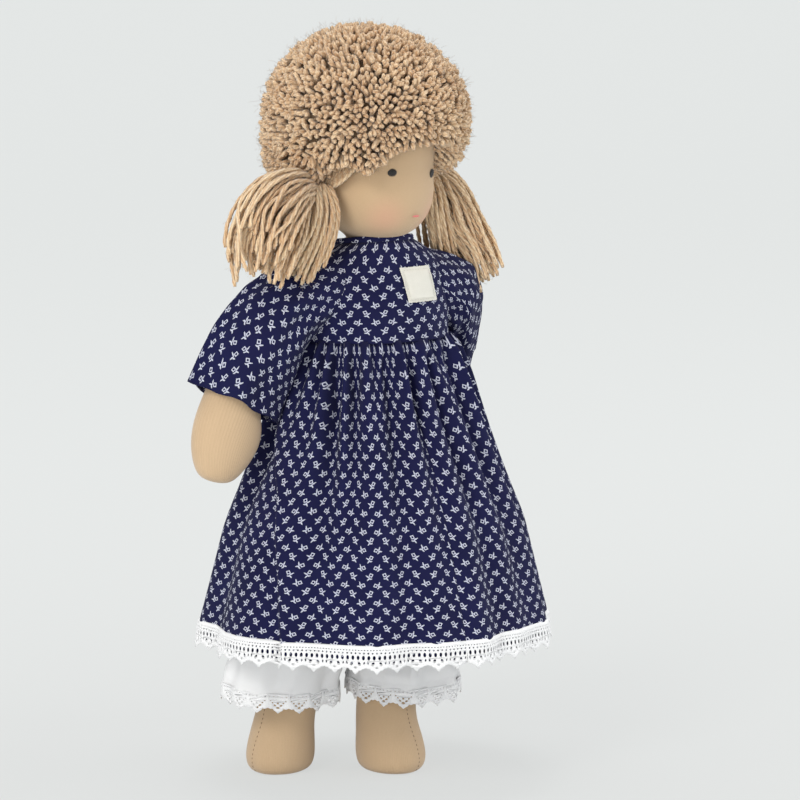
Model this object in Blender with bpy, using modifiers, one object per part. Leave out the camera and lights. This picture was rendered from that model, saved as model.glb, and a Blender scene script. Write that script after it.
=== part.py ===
"""A waldorf doll: a stuffed cloth doll with a yarn wig, a print dress and lace-edged bloomers.

Metres, +Z up. The doll stands on its soles at z = 0 and faces -Y, so its left side is at +X.
The body hangs from three pivots that carry everything else: the neck, the shoulders and the hips.
"""

from math import acos, atan, cos, pi, radians, sin, sqrt

import bmesh
import bpy
from mathutils import Matrix, Vector

# Stance: where the middle of the body stands, and the heights of the pivots
BODY_X = 0.0100
BODY_Y = 0.0
HIP_HEIGHT = 0.141
TORSO_LENGTH = 0.140
SHOULDER_DROP = 0.017
NECK_HEIGHT = HIP_HEIGHT + TORSO_LENGTH
SHOULDER_HEIGHT = NECK_HEIGHT - SHOULDER_DROP

# Cloth and clearances
SKIN = 0.0008
CLOTH = 0.0008
LACE = 0.0008
SEAM_GAP = 0.0004
LAYER_GAP = 0.0004
STUFFING_GAP = 0.0005
FLAT_DEPTH = 0.0008

# Torso
TORSO_HALF_WIDTH = 0.042
TORSO_HALF_DEPTH = 0.0299
HIP_SEAM_RISE = 0.0006
TORSO_SIDES = 8
FILLING_SIDES = 6
# Rows: height above the hip seam, half width, half depth
TORSO_SHARES = (
    (0.0, 0.96, 0.096),
    (0.050, 1.0, 0.30),
    (0.110, 1.0, 0.61),
    (0.19, 1.0, 0.90),
    (0.336, 0.955, 1.0),
    (0.84, 0.89, 1.0),
    (0.934, 0.80, 0.76),
    (0.982, 0.57, 0.60),
    (1.0, 0.45, 0.54),
)

# Neck and head, measured from the neck pivot
NECK_X = -0.003
NECK_Y = 0.002
NECK_RADIUS = 0.011
NECK_SOCKET_GAP = 0.0005
NECK_END_ANGLES = (62, 32)
SOCKET_SEGMENTS = 16
NECK_RISE = 0.0065
HEAD_CROWN = 0.103
HEAD_HALF_WIDTH = 0.035
HEAD_HALF_DEPTH = 0.0355
HEAD_SET_BACK = 0.005
HEAD_SIDES = 8
HEAD_TURN = 16.0
HEAD_NOD = 9.0
HEAD_ROLL = 3.0
# Rows: height, half width, half depth, how far back the row's middle lies
HEAD_SHARES = (
    (0.107, 0.50, 0.49, 0.6),
    (0.155, 0.73, 0.73, 0.9),
    (0.243, 0.93, 0.94, 0.85),
    (0.36, 1.0, 1.0, 0.8),
    (0.476, 0.943, 0.92, 1.06),
    (0.68, 0.965, 0.985, 1.0),
    (0.855, 0.84, 0.85, 1.0),
    (0.945, 0.62, 0.61, 1.0),
    (0.99, 0.34, 0.34, 1.0),
)
EYE_LINE_SHARE = 0.476
EYE_LEFT_SHARE = 0.456
CHIN_SHARE = 0.2
CROWN_SHARE = 0.9
EYE_LINE_THREAD = 0.0006
EYE_LINE_DENT = 0.0042
EYE_ANGLE = 27.0
EYE_RADIUS = 0.0025
EYE_THICKNESS = 0.0008
EYE_SEGMENTS = 10
THREAD_POINTS = 16
MOUTH_POINTS = 5
MOUTH_SHARE = 0.262
MOUTH_HALF_WIDTH = 0.0026
MOUTH_RADIUS = 0.0005
MOUTH_SINK = 0.0013
NECK_TIE_RADIUS = 0.0009
NECK_TIE_RISE = 0.0042

# Hair, measured from the neck pivot of the upright head
CAP_GAP = 0.001
CAP_THICKNESS = 0.0012
HAIR_RADIUS = 0.056
HAIR_HALF_HEIGHT = 0.050
HAIR_RISE = 0.070
HAIR_SET_BACK = 0.0125
HAIR_LUMP = 0.0012
HAIR_LUMPS_ROUND = 9
HAIR_LUMPS_UP = 5
HAIR_SEGMENTS = 26
HAIR_RINGS = 14
HAIRLINE_BOX_SHARE = 4
HAIRLINE_FRONT = 0.060
HAIRLINE_BACK = 0.024
HAIRLINE_REACH = 0.085
TIE_REACH = 0.0405
TIE_RISE = 0.0345
TIE_FORWARD = -0.002
TIE_RADIUS = 0.0012
TIE_POINTS = 12
BUNDLE_RADIUS = 0.0040
BUNDLE_REACH_SHARES = (-0.5, 1.1, 3.6)
BUNDLE_SPREAD_SHARES = (1.0, 1.0, 1.5)
BAND_LENGTH = 0.013
BAND_THICKNESS = 0.0042
BAND_HALF_DEPTH = 0.012
BAND_SIDES = 10
# Rows: height above the tie's middle, inward reach, thickness, half depth
BAND_SHARES = (
    (-0.35, 1.0, 0.45, 0.28),
    (0.0, 1.0, 1.0, 0.45),
    (0.45, 1.0, 1.0, 0.75),
    (1.0, 1.0, 1.0, 1.0),
)
PIGTAIL_LENGTH = 0.066
PIGTAIL_RADIUS = 0.0235
PIGTAIL_STRANDS = 12
PIGTAIL_SIDES = 24
PIGTAIL_FLUTE_SHARE = 0.045
# Rows: place along the way out and down from the tie, then half width and half depth
PIGTAIL_RIGHT_SHARES = (
    (0.20, -0.06, 0.02, 0.52, 0.44),
    (0.39, -0.13, -0.06, 0.86, 0.66),
    (0.56, -0.20, -0.22, 1.02, 0.78),
    (0.67, -0.25, -0.42, 0.98, 0.76),
    (0.72, -0.29, -0.60, 0.80, 0.62),
)
PIGTAIL_LEFT_SHARES = (
    (0.18, 0.02, 0.00, 0.46, 0.44),
    (0.33, 0.00, -0.08, 0.64, 0.62),
    (0.44, -0.04, -0.25, 0.72, 0.68),
    (0.50, -0.08, -0.42, 0.68, 0.66),
    (0.53, -0.12, -0.56, 0.54, 0.52),
)

# Arms, measured from the shoulder seam
SHOULDER_HALF_WIDTH = 0.0388
ARM_LENGTH = 0.125
ARM_HALF_WIDTH = 0.0152
ARM_HALF_DEPTH = 0.0148
ARM_SIDES = 6
ARM_TOP_RISE = 0.002
ARM_SEAT_RIGHT = 0.0014
ARM_SEAT_LEFT = 0.0
# Rows: length along the arm, lean off the vertical in degrees, half width, half depth
ARM_SHARES = (
    (0.0, 80, 0.60, 0.62),
    (0.07, 68, 0.90, 0.90),
    (0.18, 46, 1.0, 1.0),
    (0.38, 34, 1.0, 0.98),
    (0.60, 24, 0.90, 0.90),
    (0.73, 11, 1.22, 0.92),
    (0.84, 8, 1.26, 0.94),
    (0.95, 14, 0.88, 0.72),
    (1.0, 16, 0.46, 0.42),
)
ARM_BEND_SHARE = 0.25
ARM_LEAN_LEFT_SHARE = 0.42
ARM_SWING_LEFT = -33.0
ARM_SWING_RIGHT = 0.0

# Legs, measured from the hip axis
LEG_X = 0.021
LEG_HALF_WIDTH = 0.018
LEG_HALF_DEPTH = 0.0165
LEG_TOP_DROP = 0.003
HIP_SEAM_THICKNESS = 0.001
HIP_SEAM_HALF_WIDTH = 0.0141
HIP_SEAM_TOP = 0.0004
HIP_SEAM_ROOT = 0.0015
LEG_SIDES = 6
ANKLE_HEIGHT = 0.034
ANKLE_RIGHT_X = -0.0385
ANKLE_RIGHT_Y = 0.0284
ANKLE_LEFT_X = 0.0068
ANKLE_LEFT_Y = 0.0016
SPLAY_RIGHT = 58.0
SPLAY_LEFT = 2.0
FOOT_HALF_LENGTH = 0.0232
FOOT_HALF_WIDTH = 0.0187
FOOT_FORWARD = 0.0070
# Rows down to the ankle: share of the drop, half width, half depth
LEG_SHARES = (
    (0.0, 0.80, 0.10),
    (0.03, 0.92, 0.27),
    (0.13, 1.0, 0.72),
    (0.27, 1.0, 0.98),
    (0.55, 0.96, 1.0),
    (1.0, 0.88, 1.0),
)
# Rows of the foot: height above the sole in ankle heights, half width, half length, forward shift
FOOT_SHARES = (
    (0.66, 0.93, 0.84, 0.65),
    (0.31, 1.0, 1.0, 1.0),
    (0.09, 0.92, 0.91, 0.97),
    (0.0, 0.60, 0.62, 0.92),
)

# Dress: bodice
WAIST_DROP = 0.0455
BODICE_LENGTH = 0.0490
WAIST_HEIGHT = NECK_HEIGHT - WAIST_DROP
BODICE_HALF_WIDTH = 0.0425
BODICE_HALF_DEPTH = 0.032
BODICE_COLUMNS = 14
NECKLINE_RADIUS = 0.0012
ARMHOLE_RADIUS = 0.0185
ARMHOLE_SIDES = 20
ARMHOLE_CUT_SHARE = 0.35
SLEEVE_TUCK_SHARE = 0.25
BUTTON_RADIUS = 0.0036
BUTTON_THICKNESS = 0.0014
BUTTON_SET_BACK = 0.0052
BUTTON_COUNT = 3
BUTTON_SIDES = 14
LOWEST_BUTTON_SHARE = 0.14
BUTTON_SPREAD_SHARE = 0.70
SLOPE_STEP_SHARE = 0.05
PLACKET_WIDTH = 0.011
PLACKET_COLUMNS = 4
PATCH_SIDE = 0.020
PATCH_COLUMNS = 4
PATCH_X = 0.0115
PATCH_RISE_SHARE = 0.610
# Rows: height from the waist to the neckline, half width, half depth
BODICE_SHARES = (
    (0.0, 1.0, 1.0),
    (0.44, 0.98, 0.94),
    (0.68, 0.95, 0.835),
    (0.81, 0.905, 0.745),
    (0.92, 0.73, 0.655),
    (1.0, 0.475, 0.55),
)

# Dress: sleeves, measured from the armhole's middle
SLEEVE_LENGTH = 0.080
SLEEVE_SIDES = 20
SLEEVE_FOLDS = 5
SLEEVE_FOLD_DEPTH = 0.0016
SLEEVE_STAND = 0.0007
# Rows: under-arm line out and down, upper line out and down, half depth
SLEEVE_RIGHT_SHARES = (
    (0.09, -0.345, 0.20, 0.155, 0.255),
    (0.145, -0.505, 0.47, 0.02, 0.262),
    (0.215, -0.69, 0.69, -0.20, 0.250),
    (0.265, -0.80, 0.81, -0.40, 0.235),
    (0.295, -0.875, 0.90, -0.58, 0.222),
)
SLEEVE_LEFT_SHARES = (
    (0.072, -0.35, 0.19, 0.13, 0.255),
    (0.078, -0.505, 0.41, -0.05, 0.25),
    (0.096, -0.69, 0.51, -0.27, 0.24),
    (0.12, -0.80, 0.56, -0.48, 0.23),
    (0.13, -0.875, 0.60, -0.66, 0.222),
)

# Dress: skirt and its lace
SKIRT_LENGTH = 0.1512
SKIRT_HALF_WIDTH = 0.0920
SKIRT_HALF_DEPTH = 0.0890
SKIRT_FOLDS = 12
SKIRT_FOLD_DEPTH = 0.0032
GATHER_DEPTH = 0.0009
POINTS_PER_FOLD = 5
HEM_LACE_DROP = 0.0122
HEM_LACE_SCALLOP = 0.0022
HEM_LACE_REPEATS = 54
# Rows: drop from the waist, flare of the width, flare of the depth, fold depth
SKIRT_SHARES = (
    (0.0, 0.0, 0.0, 0.0),
    (0.05, 0.045, 0.06, 0.10),
    (0.13, 0.14, 0.15, 0.28),
    (0.25, 0.27, 0.28, 0.45),
    (0.43, 0.47, 0.52, 0.62),
    (0.65, 0.745, 0.77, 0.80),
    (1.0, 1.0, 1.0, 1.0),
)

# Bloomers
BLOOMERS_TOP_DROP = 0.0225
CROTCH_RISE = 0.0003
BLOOMERS_LEG_LENGTH = 0.0903
BLOOMERS_TOP = WAIST_HEIGHT - BLOOMERS_TOP_DROP
BLOOMERS_CROTCH = HIP_HEIGHT + CROTCH_RISE
BLOOMERS_HEM = BLOOMERS_CROTCH - BLOOMERS_LEG_LENGTH
BLOOMERS_HALF_WIDTH = 0.047
BLOOMERS_HALF_DEPTH = 0.0335
BLOOMERS_SIDES = 18
ELASTIC_RADIUS = 0.0016
OUTER_EASE = 0.0225
INNER_EASE_RIGHT = 0.0055
INNER_EASE_LEFT = 0.0025
DEPTH_EASE = 0.0115
CUFF_LACE_DROP = 0.0092
CUFF_LACE_SCALLOP = 0.0018
CUFF_LACE_REPEATS = 18
SEAT_SIDES = 22
# Rows: height from the crotch to the waist, half width, half depth
BLOOMERS_SEAT_SHARES = (
    (0.0, 1.0, 0.72),
    (0.12, 1.01, 0.88),
    (0.35, 0.98, 1.0),
    (0.70, 0.925, 0.985),
    (1.0, 0.875, 1.0),
)
# Rows: drop from the crotch to the hem, ease
BLOOMERS_LEG_SHARES = (
    (0.0, 0.22),
    (0.16, 0.48),
    (0.42, 0.86),
    (0.75, 1.0),
    (1.0, 0.98),
)


def material(name, colour, roughness):
    made = bpy.data.materials.new(name)
    made.use_nodes = True
    shader = made.node_tree.nodes["Principled BSDF"]
    shader.inputs["Base Color"].default_value = (*colour, 1)
    shader.inputs["Roughness"].default_value = roughness
    shader.inputs["Metallic"].default_value = 0
    return made


def pivot(name, location, rotation=None, parent=None):
    """An empty on a joint, which carries the pieces that move with it."""
    empty = bpy.data.objects.new(name, None)
    empty.empty_display_size = NECK_RADIUS
    doll_collection.objects.link(empty)
    empty.parent = parent
    empty.matrix_local = Matrix.Translation(location) @ (rotation or Matrix.Identity(4))
    return empty


def place(name, mesh, finish, parent, collection=None):
    mesh.materials.append(finish)
    mesh.shade_smooth()
    piece = bpy.data.objects.new(name, mesh)
    (collection or doll_collection).objects.link(piece)
    piece.parent = parent
    return piece


def cutter(name, mesh, parent):
    piece = place(name, mesh, cutter_finish, parent, cutter_collection)
    piece.hide_render = True
    piece.display_type = "WIRE"
    return piece


def cut(piece, tool, operation="DIFFERENCE"):
    modifier = piece.modifiers.new(tool.name, "BOOLEAN")
    modifier.operation = operation
    modifier.object = tool


def subdivide(piece):
    modifier = piece.modifiers.new("soft", "SUBSURF")
    modifier.levels = 1
    modifier.render_levels = 1


def thicken(piece, thickness, offset=-1):
    modifier = piece.modifiers.new("thickness", "SOLIDIFY")
    modifier.thickness = thickness
    modifier.offset = offset


def ellipse(centre, across, forward, half_width, half_depth, sides, ripple=None):
    """Points round an ellipse, whose radius a ripple may change with the angle."""
    points = []
    for i in range(sides):
        angle = 2 * pi * i / sides
        swell = ripple(angle) if ripple else 0
        x = (half_width + swell) * cos(angle)
        y = (half_depth + swell) * sin(angle)
        points.append(centre + across * x + forward * y)
    return points


def level_ring(x, y, z, half_width, half_depth, sides, ripple=None, turn=0):
    spin = Matrix.Rotation(turn, 3, "Z")
    across, forward = spin @ Vector((1, 0, 0)), spin @ Vector((0, 1, 0))
    return ellipse(Vector((x, y, z)), across, forward, half_width, half_depth, sides, ripple)


def soft_ring(x, y, z, half_width, half_depth, sides, turn=0):
    """A level ring of a cage, wider by what its subdivision draws in."""
    grow_share = 1 / cos(pi / sides)
    return level_ring(x, y, z, half_width * grow_share, half_depth * grow_share, sides, None, turn)


def loft(name, rings, start_cap=True, end_cap=True, closed=True):
    """A skin through rings of points, which lie in order from one end of the piece to the other."""
    shape = bmesh.new()
    rows = [[shape.verts.new(point) for point in ring] for ring in rings]
    sides = len(rows[0])
    for near, far in zip(rows, rows[1:]):
        for i in range(sides if closed else sides - 1):
            j = (i + 1) % sides
            shape.faces.new((near[i], near[j], far[j], far[i]))
    if start_cap:
        shape.faces.new(rows[0])
    if end_cap:
        shape.faces.new(rows[-1])
    bmesh.ops.recalc_face_normals(shape, faces=shape.faces)
    middle = sum((Vector(point) for point in rings[0]), Vector()) / sides
    first = shape.faces[:][0]
    first.normal_update()
    if not (start_cap and end_cap) and first.normal.dot(first.calc_center_median() - middle) < 0:
        bmesh.ops.reverse_faces(shape, faces=shape.faces)
    mesh = bpy.data.meshes.new(name)
    shape.to_mesh(mesh)
    shape.free()
    return mesh


def between(rows, place_share):
    """A row of a table of shares, read between its rows by the first column."""
    for low, high in zip(rows, rows[1:]):
        if place_share <= high[0]:
            part = (place_share - low[0]) / (high[0] - low[0])
            return [a + part * (b - a) for a, b in zip(low, high)]
    return list(rows[-1])


def primitive(name, operation, **settings):
    """The mesh of one of bmesh's own shapes."""
    shape = bmesh.new()
    operation(shape, **settings)
    mesh = bpy.data.meshes.new(name)
    shape.to_mesh(mesh)
    shape.free()
    return mesh


def thread_ring(name, finish, parent, matrix, half_width, half_depth, radius, points, resolution=1):
    """A closed thread or cord round an ellipse."""
    curve = bpy.data.curves.new(name, "CURVE")
    curve.dimensions = "3D"
    curve.bevel_depth = radius
    curve.bevel_resolution = resolution
    spline = curve.splines.new("POLY")
    spline.points.add(points - 1)
    for i, point in enumerate(spline.points):
        angle = 2 * pi * i / points
        point.co = (half_width * cos(angle), half_depth * sin(angle), 0, 1)
    spline.use_cyclic_u = True
    curve.materials.append(finish)
    piece = bpy.data.objects.new(name, curve)
    doll_collection.objects.link(piece)
    piece.parent = parent
    piece.matrix_local = matrix
    return piece


def disc(name, radius, depth, segments):
    sizes = {"radius1": radius, "radius2": radius, "depth": depth}
    return primitive(name, bmesh.ops.create_cone, cap_ends=True, segments=segments, **sizes)


def torso_rings(inset, sides):
    height = NECK_HEIGHT - HIP_HEIGHT - HIP_SEAM_RISE
    rings = []
    for up_share, width_share, depth_share in TORSO_SHARES:
        z = HIP_HEIGHT + HIP_SEAM_RISE + up_share * height
        a, b = TORSO_HALF_WIDTH * width_share, TORSO_HALF_DEPTH * depth_share
        rings.append(soft_ring(0, 0, z, a - inset, b - inset, sides))
    return rings


def torso():
    """The stuffed body: a jersey skin, open at the neck, round a wool filling with a neck socket."""
    mesh = loft("torso_skin", torso_rings(0, TORSO_SIDES), end_cap=False)
    skin = place("torso_skin", mesh, jersey, doll)
    subdivide(skin)
    thicken(skin, SKIN)
    filling = torso_rings(SKIN + 2 * STUFFING_GAP, FILLING_SIDES)[1:]
    wool_body = place("torso_stuffing", loft("torso_stuffing", filling), wool, doll)
    subdivide(wool_body)
    radius = NECK_RADIUS + NECK_SOCKET_GAP
    counts = {"u_segments": SOCKET_SEGMENTS, "v_segments": SOCKET_SEGMENTS // 2}
    ball = primitive("neck_socket", bmesh.ops.create_uvsphere, radius=radius, **counts)
    cut(wool_body, cutter("neck_socket", ball, neck_pivot))


def neck_rings(inset, sides=HEAD_SIDES):
    rings = []
    for angle in NECK_END_ANGLES:
        z = -(NECK_RADIUS - inset) * sin(radians(angle))
        r = (NECK_RADIUS - inset) * cos(radians(angle))
        rings.append(soft_ring(0, 0, z, r, r, sides))
    for z in (0, NECK_RISE):
        r = NECK_RADIUS - inset
        rings.append(soft_ring(0, 0, z, r, r, sides))
    return rings


def head_rings(inset, dent=0, sides=HEAD_SIDES):
    """Rings of the head from the chin up. The dent is the extra depth of the eye-line tie."""
    rings = []
    for up_share, width_share, depth_share, back_share in HEAD_SHARES:
        tied = inset + (dent if up_share == EYE_LINE_SHARE else 0)
        a = HEAD_HALF_WIDTH * width_share - tied
        b = HEAD_HALF_DEPTH * depth_share - tied
        z = HEAD_CROWN * up_share
        z += inset * ((up_share < CHIN_SHARE) - (up_share > CROWN_SHARE))
        rings.append(soft_ring(0, HEAD_SET_BACK * back_share, z, a, b, sides))
    return rings


def head_at(up_share, angle_from_front):
    """A point on the head's skin and the way that it faces, level."""
    _, width_share, depth_share, back_share = between(HEAD_SHARES, up_share)
    angle = radians(angle_from_front)
    a, b = HEAD_HALF_WIDTH * width_share, HEAD_HALF_DEPTH * depth_share
    facing = Vector((sin(angle) / a, -cos(angle) / b, 0)).normalized()
    point = Vector((a * sin(angle), HEAD_SET_BACK * back_share - b * cos(angle), HEAD_CROWN * up_share))
    return point, facing


def head():
    """The head: a tied wool core in a jersey skin that ends in the neck's round end."""
    skin = place(
        "head_skin", loft("head_skin", neck_rings(0) + head_rings(0), start_cap=False), jersey, head_pivot
    )
    subdivide(skin)
    thicken(skin, SKIN)
    inset = SKIN + 2 * STUFFING_GAP
    rings = neck_rings(inset, FILLING_SIDES) + head_rings(inset, EYE_LINE_DENT, FILLING_SIDES)
    core = place("head_core", loft("head_core", rings), wool, head_pivot)
    subdivide(core)
    _, width_share, depth_share, back_share = between(HEAD_SHARES, EYE_LINE_SHARE)
    reach = SKIN + EYE_LINE_THREAD + 2 * STUFFING_GAP
    thread_ring(
        "eye_line_thread",
        thread_white,
        head_pivot,
        Matrix.Translation((0, HEAD_SET_BACK * back_share, HEAD_CROWN * EYE_LINE_SHARE)),
        HEAD_HALF_WIDTH * width_share - reach,
        HEAD_HALF_DEPTH * depth_share - reach,
        EYE_LINE_THREAD,
        THREAD_POINTS,
    )


def face():
    """Two eyes and a mouth, embroidered in thread on the skin."""
    for side, name, up_share in ((-1, "eye_right", EYE_LINE_SHARE), (1, "eye_left", EYE_LEFT_SHARE)):
        point, facing = head_at(up_share, side * EYE_ANGLE)
        counts = {"u_segments": EYE_SEGMENTS, "v_segments": EYE_SEGMENTS // 2}
        mesh = primitive(name, bmesh.ops.create_uvsphere, radius=1, **counts)
        half = EYE_THICKNESS / 2
        mesh.transform(Matrix.Diagonal((EYE_RADIUS, EYE_RADIUS, half, 1)))
        eye = place(name, mesh, thread_dark, head_pivot)
        stand = half + LAYER_GAP
        eye.matrix_local = Matrix.Translation(point + facing * stand) @ facing.to_track_quat(
            "Z", "Y"
        ).to_matrix().to_4x4()
    curve = bpy.data.curves.new("mouth", "CURVE")
    curve.dimensions = "3D"
    curve.bevel_depth = MOUTH_RADIUS
    curve.bevel_resolution = 1
    curve.use_fill_caps = True
    spline = curve.splines.new("POLY")
    spline.points.add(MOUTH_POINTS - 1)
    point, facing = head_at(MOUTH_SHARE, 0)
    for i, knot in enumerate(spline.points):
        x = MOUTH_HALF_WIDTH * (2 * i / (MOUTH_POINTS - 1) - 1)
        drop = HEAD_HALF_DEPTH - sqrt(HEAD_HALF_DEPTH**2 - x**2)
        stand = MOUTH_RADIUS + LAYER_GAP - MOUTH_SINK
        knot.co = (x, point.y - stand + drop, point.z, 1)
    curve.materials.append(thread_pink)
    mouth = bpy.data.objects.new("mouth", curve)
    doll_collection.objects.link(mouth)
    mouth.parent = head_pivot


def neck_thread():
    """The strong thread that ties the neck in, on which the head turns."""
    around = NECK_RADIUS + 2 * LAYER_GAP + NECK_TIE_RADIUS
    thread_ring(
        "neck_tie",
        thread_white,
        head_pivot,
        Matrix.Translation((0, 0, NECK_TIE_RISE)),
        around,
        around,
        NECK_TIE_RADIUS,
        THREAD_POINTS,
    )


def hairline_tilt():
    return (HAIRLINE_FRONT - HAIRLINE_BACK) / HAIRLINE_REACH


def hairline_box(name):
    """Everything below the hairline, which falls from the forehead to the nape."""
    mesh = primitive(name, bmesh.ops.create_cube, size=1)
    side = HAIRLINE_BOX_SHARE * HAIR_RADIUS
    mesh.transform(Matrix.Diagonal((side, side, side, 1)))
    box = cutter(name, mesh, head_pivot)
    slope = hairline_tilt()
    normal = Vector((0, slope, 1)).normalized()
    middle_z = (HAIRLINE_FRONT + HAIRLINE_BACK) / 2
    place_at = Vector((0, HEAD_SET_BACK, middle_z)) - normal * (side / 2)
    box.matrix_local = Matrix.Translation(place_at) @ Matrix.Rotation(-atan(slope), 4, "X")
    return box


def hair():
    """The wig: a crocheted cap, and the pile of yarn ends knotted into it."""
    cap = place(
        "wig_cap",
        loft("wig_cap", head_rings(-CAP_GAP), start_cap=False),
        yarn,
        head_pivot,
    )
    subdivide(cap)
    thicken(cap, CAP_THICKNESS, 1)
    cut(cap, hairline_box("cap_edge"))
    shape = bmesh.new()
    bmesh.ops.create_uvsphere(shape, u_segments=HAIR_SEGMENTS, v_segments=HAIR_RINGS, radius=1)
    for vert in shape.verts:
        around = Vector((vert.co.x, vert.co.y, 0)).angle(Vector((1, 0, 0)), 0)
        up = acos(max(-1, min(1, vert.co.z)))
        wave = cos(HAIR_LUMPS_ROUND * around) * cos(2 * HAIR_LUMPS_UP * up) * sin(up) ** 2
        swell = HAIR_LUMP * (wave - 1)
        vert.co.x *= HAIR_RADIUS + swell
        vert.co.y *= HAIR_RADIUS + swell
        vert.co.z *= HAIR_HALF_HEIGHT + swell
    mesh = bpy.data.meshes.new("hair_pile")
    shape.to_mesh(mesh)
    shape.free()
    mesh.transform(Matrix.Translation((0, HAIR_SET_BACK, HAIR_RISE)))
    pile = place("hair_pile", mesh, yarn, head_pivot)
    inner = cutter(
        "cap_room", loft("cap_room", head_rings(-CAP_GAP - CAP_THICKNESS - LAYER_GAP)), head_pivot
    )
    subdivide(inner)
    cut(pile, inner)
    cut(pile, hairline_box("pile_edge"))


def pigtail(side, name, shares):
    """A bundle of long strands: its band below the pile, the tie, and the free pigtail."""
    tie = Vector((side * TIE_REACH, HEAD_SET_BACK + TIE_FORWARD, TIE_RISE))
    inner = TIE_REACH - TIE_RADIUS - LAYER_GAP
    rings = []
    for drop_share, reach_share, width_share, depth_share in BAND_SHARES:
        x = inner - BAND_THICKNESS * reach_share / 2
        z = TIE_RISE + BAND_LENGTH * drop_share
        a, b = BAND_THICKNESS / 2 * width_share, BAND_HALF_DEPTH * depth_share
        rings.append(level_ring(side * x, tie.y, z, a, b, BAND_SIDES))
    band = place(f"strand_band_{name}", loft(f"strand_band_{name}", rings), yarn, head_pivot)
    cut(band, hairline_top(f"band_top_{name}"))
    hinge = pivot(f"pigtail_pivot_{name}", doll_matrix.inverted() @ head_matrix @ tie, None, doll)
    around = BUNDLE_RADIUS + LAYER_GAP + TIE_RADIUS
    upright = Matrix.Rotation(pi / 2, 4, "Y")
    upright = Matrix.Translation(tie) @ upright
    thread_ring(f"pigtail_tie_{name}", yarn, head_pivot, upright, around, around, TIE_RADIUS, TIE_POINTS)
    out = head_turned.to_3x3() @ Vector((side, 0, 0))
    path = [out * (TIE_RADIUS * reach_share) for reach_share in BUNDLE_REACH_SHARES]
    path += [Vector((side * row[0], row[1], row[2])) * PIGTAIL_LENGTH for row in shares]
    sizes = [(share * BUNDLE_RADIUS, share * BUNDLE_RADIUS) for share in BUNDLE_SPREAD_SHARES]
    start = len(sizes)
    sizes += [(row[3] * PIGTAIL_RADIUS, row[4] * PIGTAIL_RADIUS) for row in shares]
    rings = []
    for i, (half_width, half_depth) in enumerate(sizes):
        ahead = path[min(i + 1, len(path) - 1)] - path[max(i - 1, 0)]
        ahead = out if i < start else ahead.normalized()
        across = Vector((0, 1, 0)).cross(ahead).normalized()
        forward = ahead.cross(across)

        def flute(angle, depth=half_width * PIGTAIL_FLUTE_SHARE * (i >= start)):
            return depth * cos(PIGTAIL_STRANDS * angle)

        rings.append(ellipse(path[i], across, forward, half_width, half_depth, PIGTAIL_SIDES, flute))
    place(f"pigtail_{name}", loft(f"pigtail_{name}", rings), yarn, hinge)


def hairline_top(name):
    """Everything above the hairline, with the gap below the pile."""
    box = hairline_box(name)
    slope = hairline_tilt()
    normal = Vector((0, slope, 1)).normalized()
    box.location += normal * (HAIRLINE_BOX_SHARE * HAIR_RADIUS) - normal * LAYER_GAP
    return box


def arm_line(lean_share, seat):
    """Places and headings down the middle of an arm, as out, down and unit vectors."""
    points, headings = [], []
    spot = Vector((-seat, 0, ARM_TOP_RISE))
    last = None
    for along_share, lean, _, _ in ARM_SHARES:
        angle = radians(lean * (1 - (1 - lean_share) * min(1, along_share / ARM_BEND_SHARE)))
        heading = Vector((sin(angle), 0, -cos(angle)))
        if last:
            step = (along_share - last[0]) * ARM_LENGTH
            spot = spot + (heading + last[1]).normalized() * step
        points.append(spot)
        headings.append(heading)
        last = (along_share, heading)
    return points, headings


def arm_rings(side, lean_share, seat, inset, sides):
    rings = []
    points, headings = arm_line(lean_share, seat)
    grow_share = 1 / cos(pi / sides)
    for row, spot, heading in zip(ARM_SHARES, points, headings):
        across = Vector((side * heading.z, 0, -heading.x))
        centre = Vector((side * spot.x, 0, spot.z))
        a = (ARM_HALF_WIDTH * row[2] - inset) * grow_share
        b = (ARM_HALF_DEPTH * row[3] - inset) * grow_share
        rings.append(ellipse(centre, across, Vector((0, side, 0)), a, b, sides))
    return rings


def arm(side, name, lean_share, seat, parent):
    """A stuffed arm with a mitten hand. Its jersey skin is open where it is sewn to the body."""
    rings = arm_rings(side, lean_share, seat, 0, ARM_SIDES)
    skin = place(f"arm_skin_{name}", loft(f"arm_skin_{name}", rings, start_cap=False), jersey, parent)
    subdivide(skin)
    thicken(skin, SKIN)
    inset = SKIN + 2 * STUFFING_GAP
    rings = arm_rings(side, lean_share, seat, inset, ARM_SIDES)
    heading = arm_line(lean_share, seat)[1][-1]
    tip = Vector((side * heading.x, 0, heading.z)) * inset
    rings[-1] = [point - tip for point in rings[-1]]
    filling = place(f"arm_stuffing_{name}", loft(f"arm_stuffing_{name}", rings[1:]), wool, parent)
    subdivide(filling)


def leg_row(side, ankle_x, ankle_y, drop_share):
    """Middle of a leg at a share of the drop from the hip axis to the ankle, from the hip."""
    drop = HIP_HEIGHT - LEG_TOP_DROP - ANKLE_HEIGHT
    x = side * LEG_X + (ankle_x - side * LEG_X) * drop_share
    return x, ankle_y * drop_share, -LEG_TOP_DROP - drop * drop_share


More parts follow.
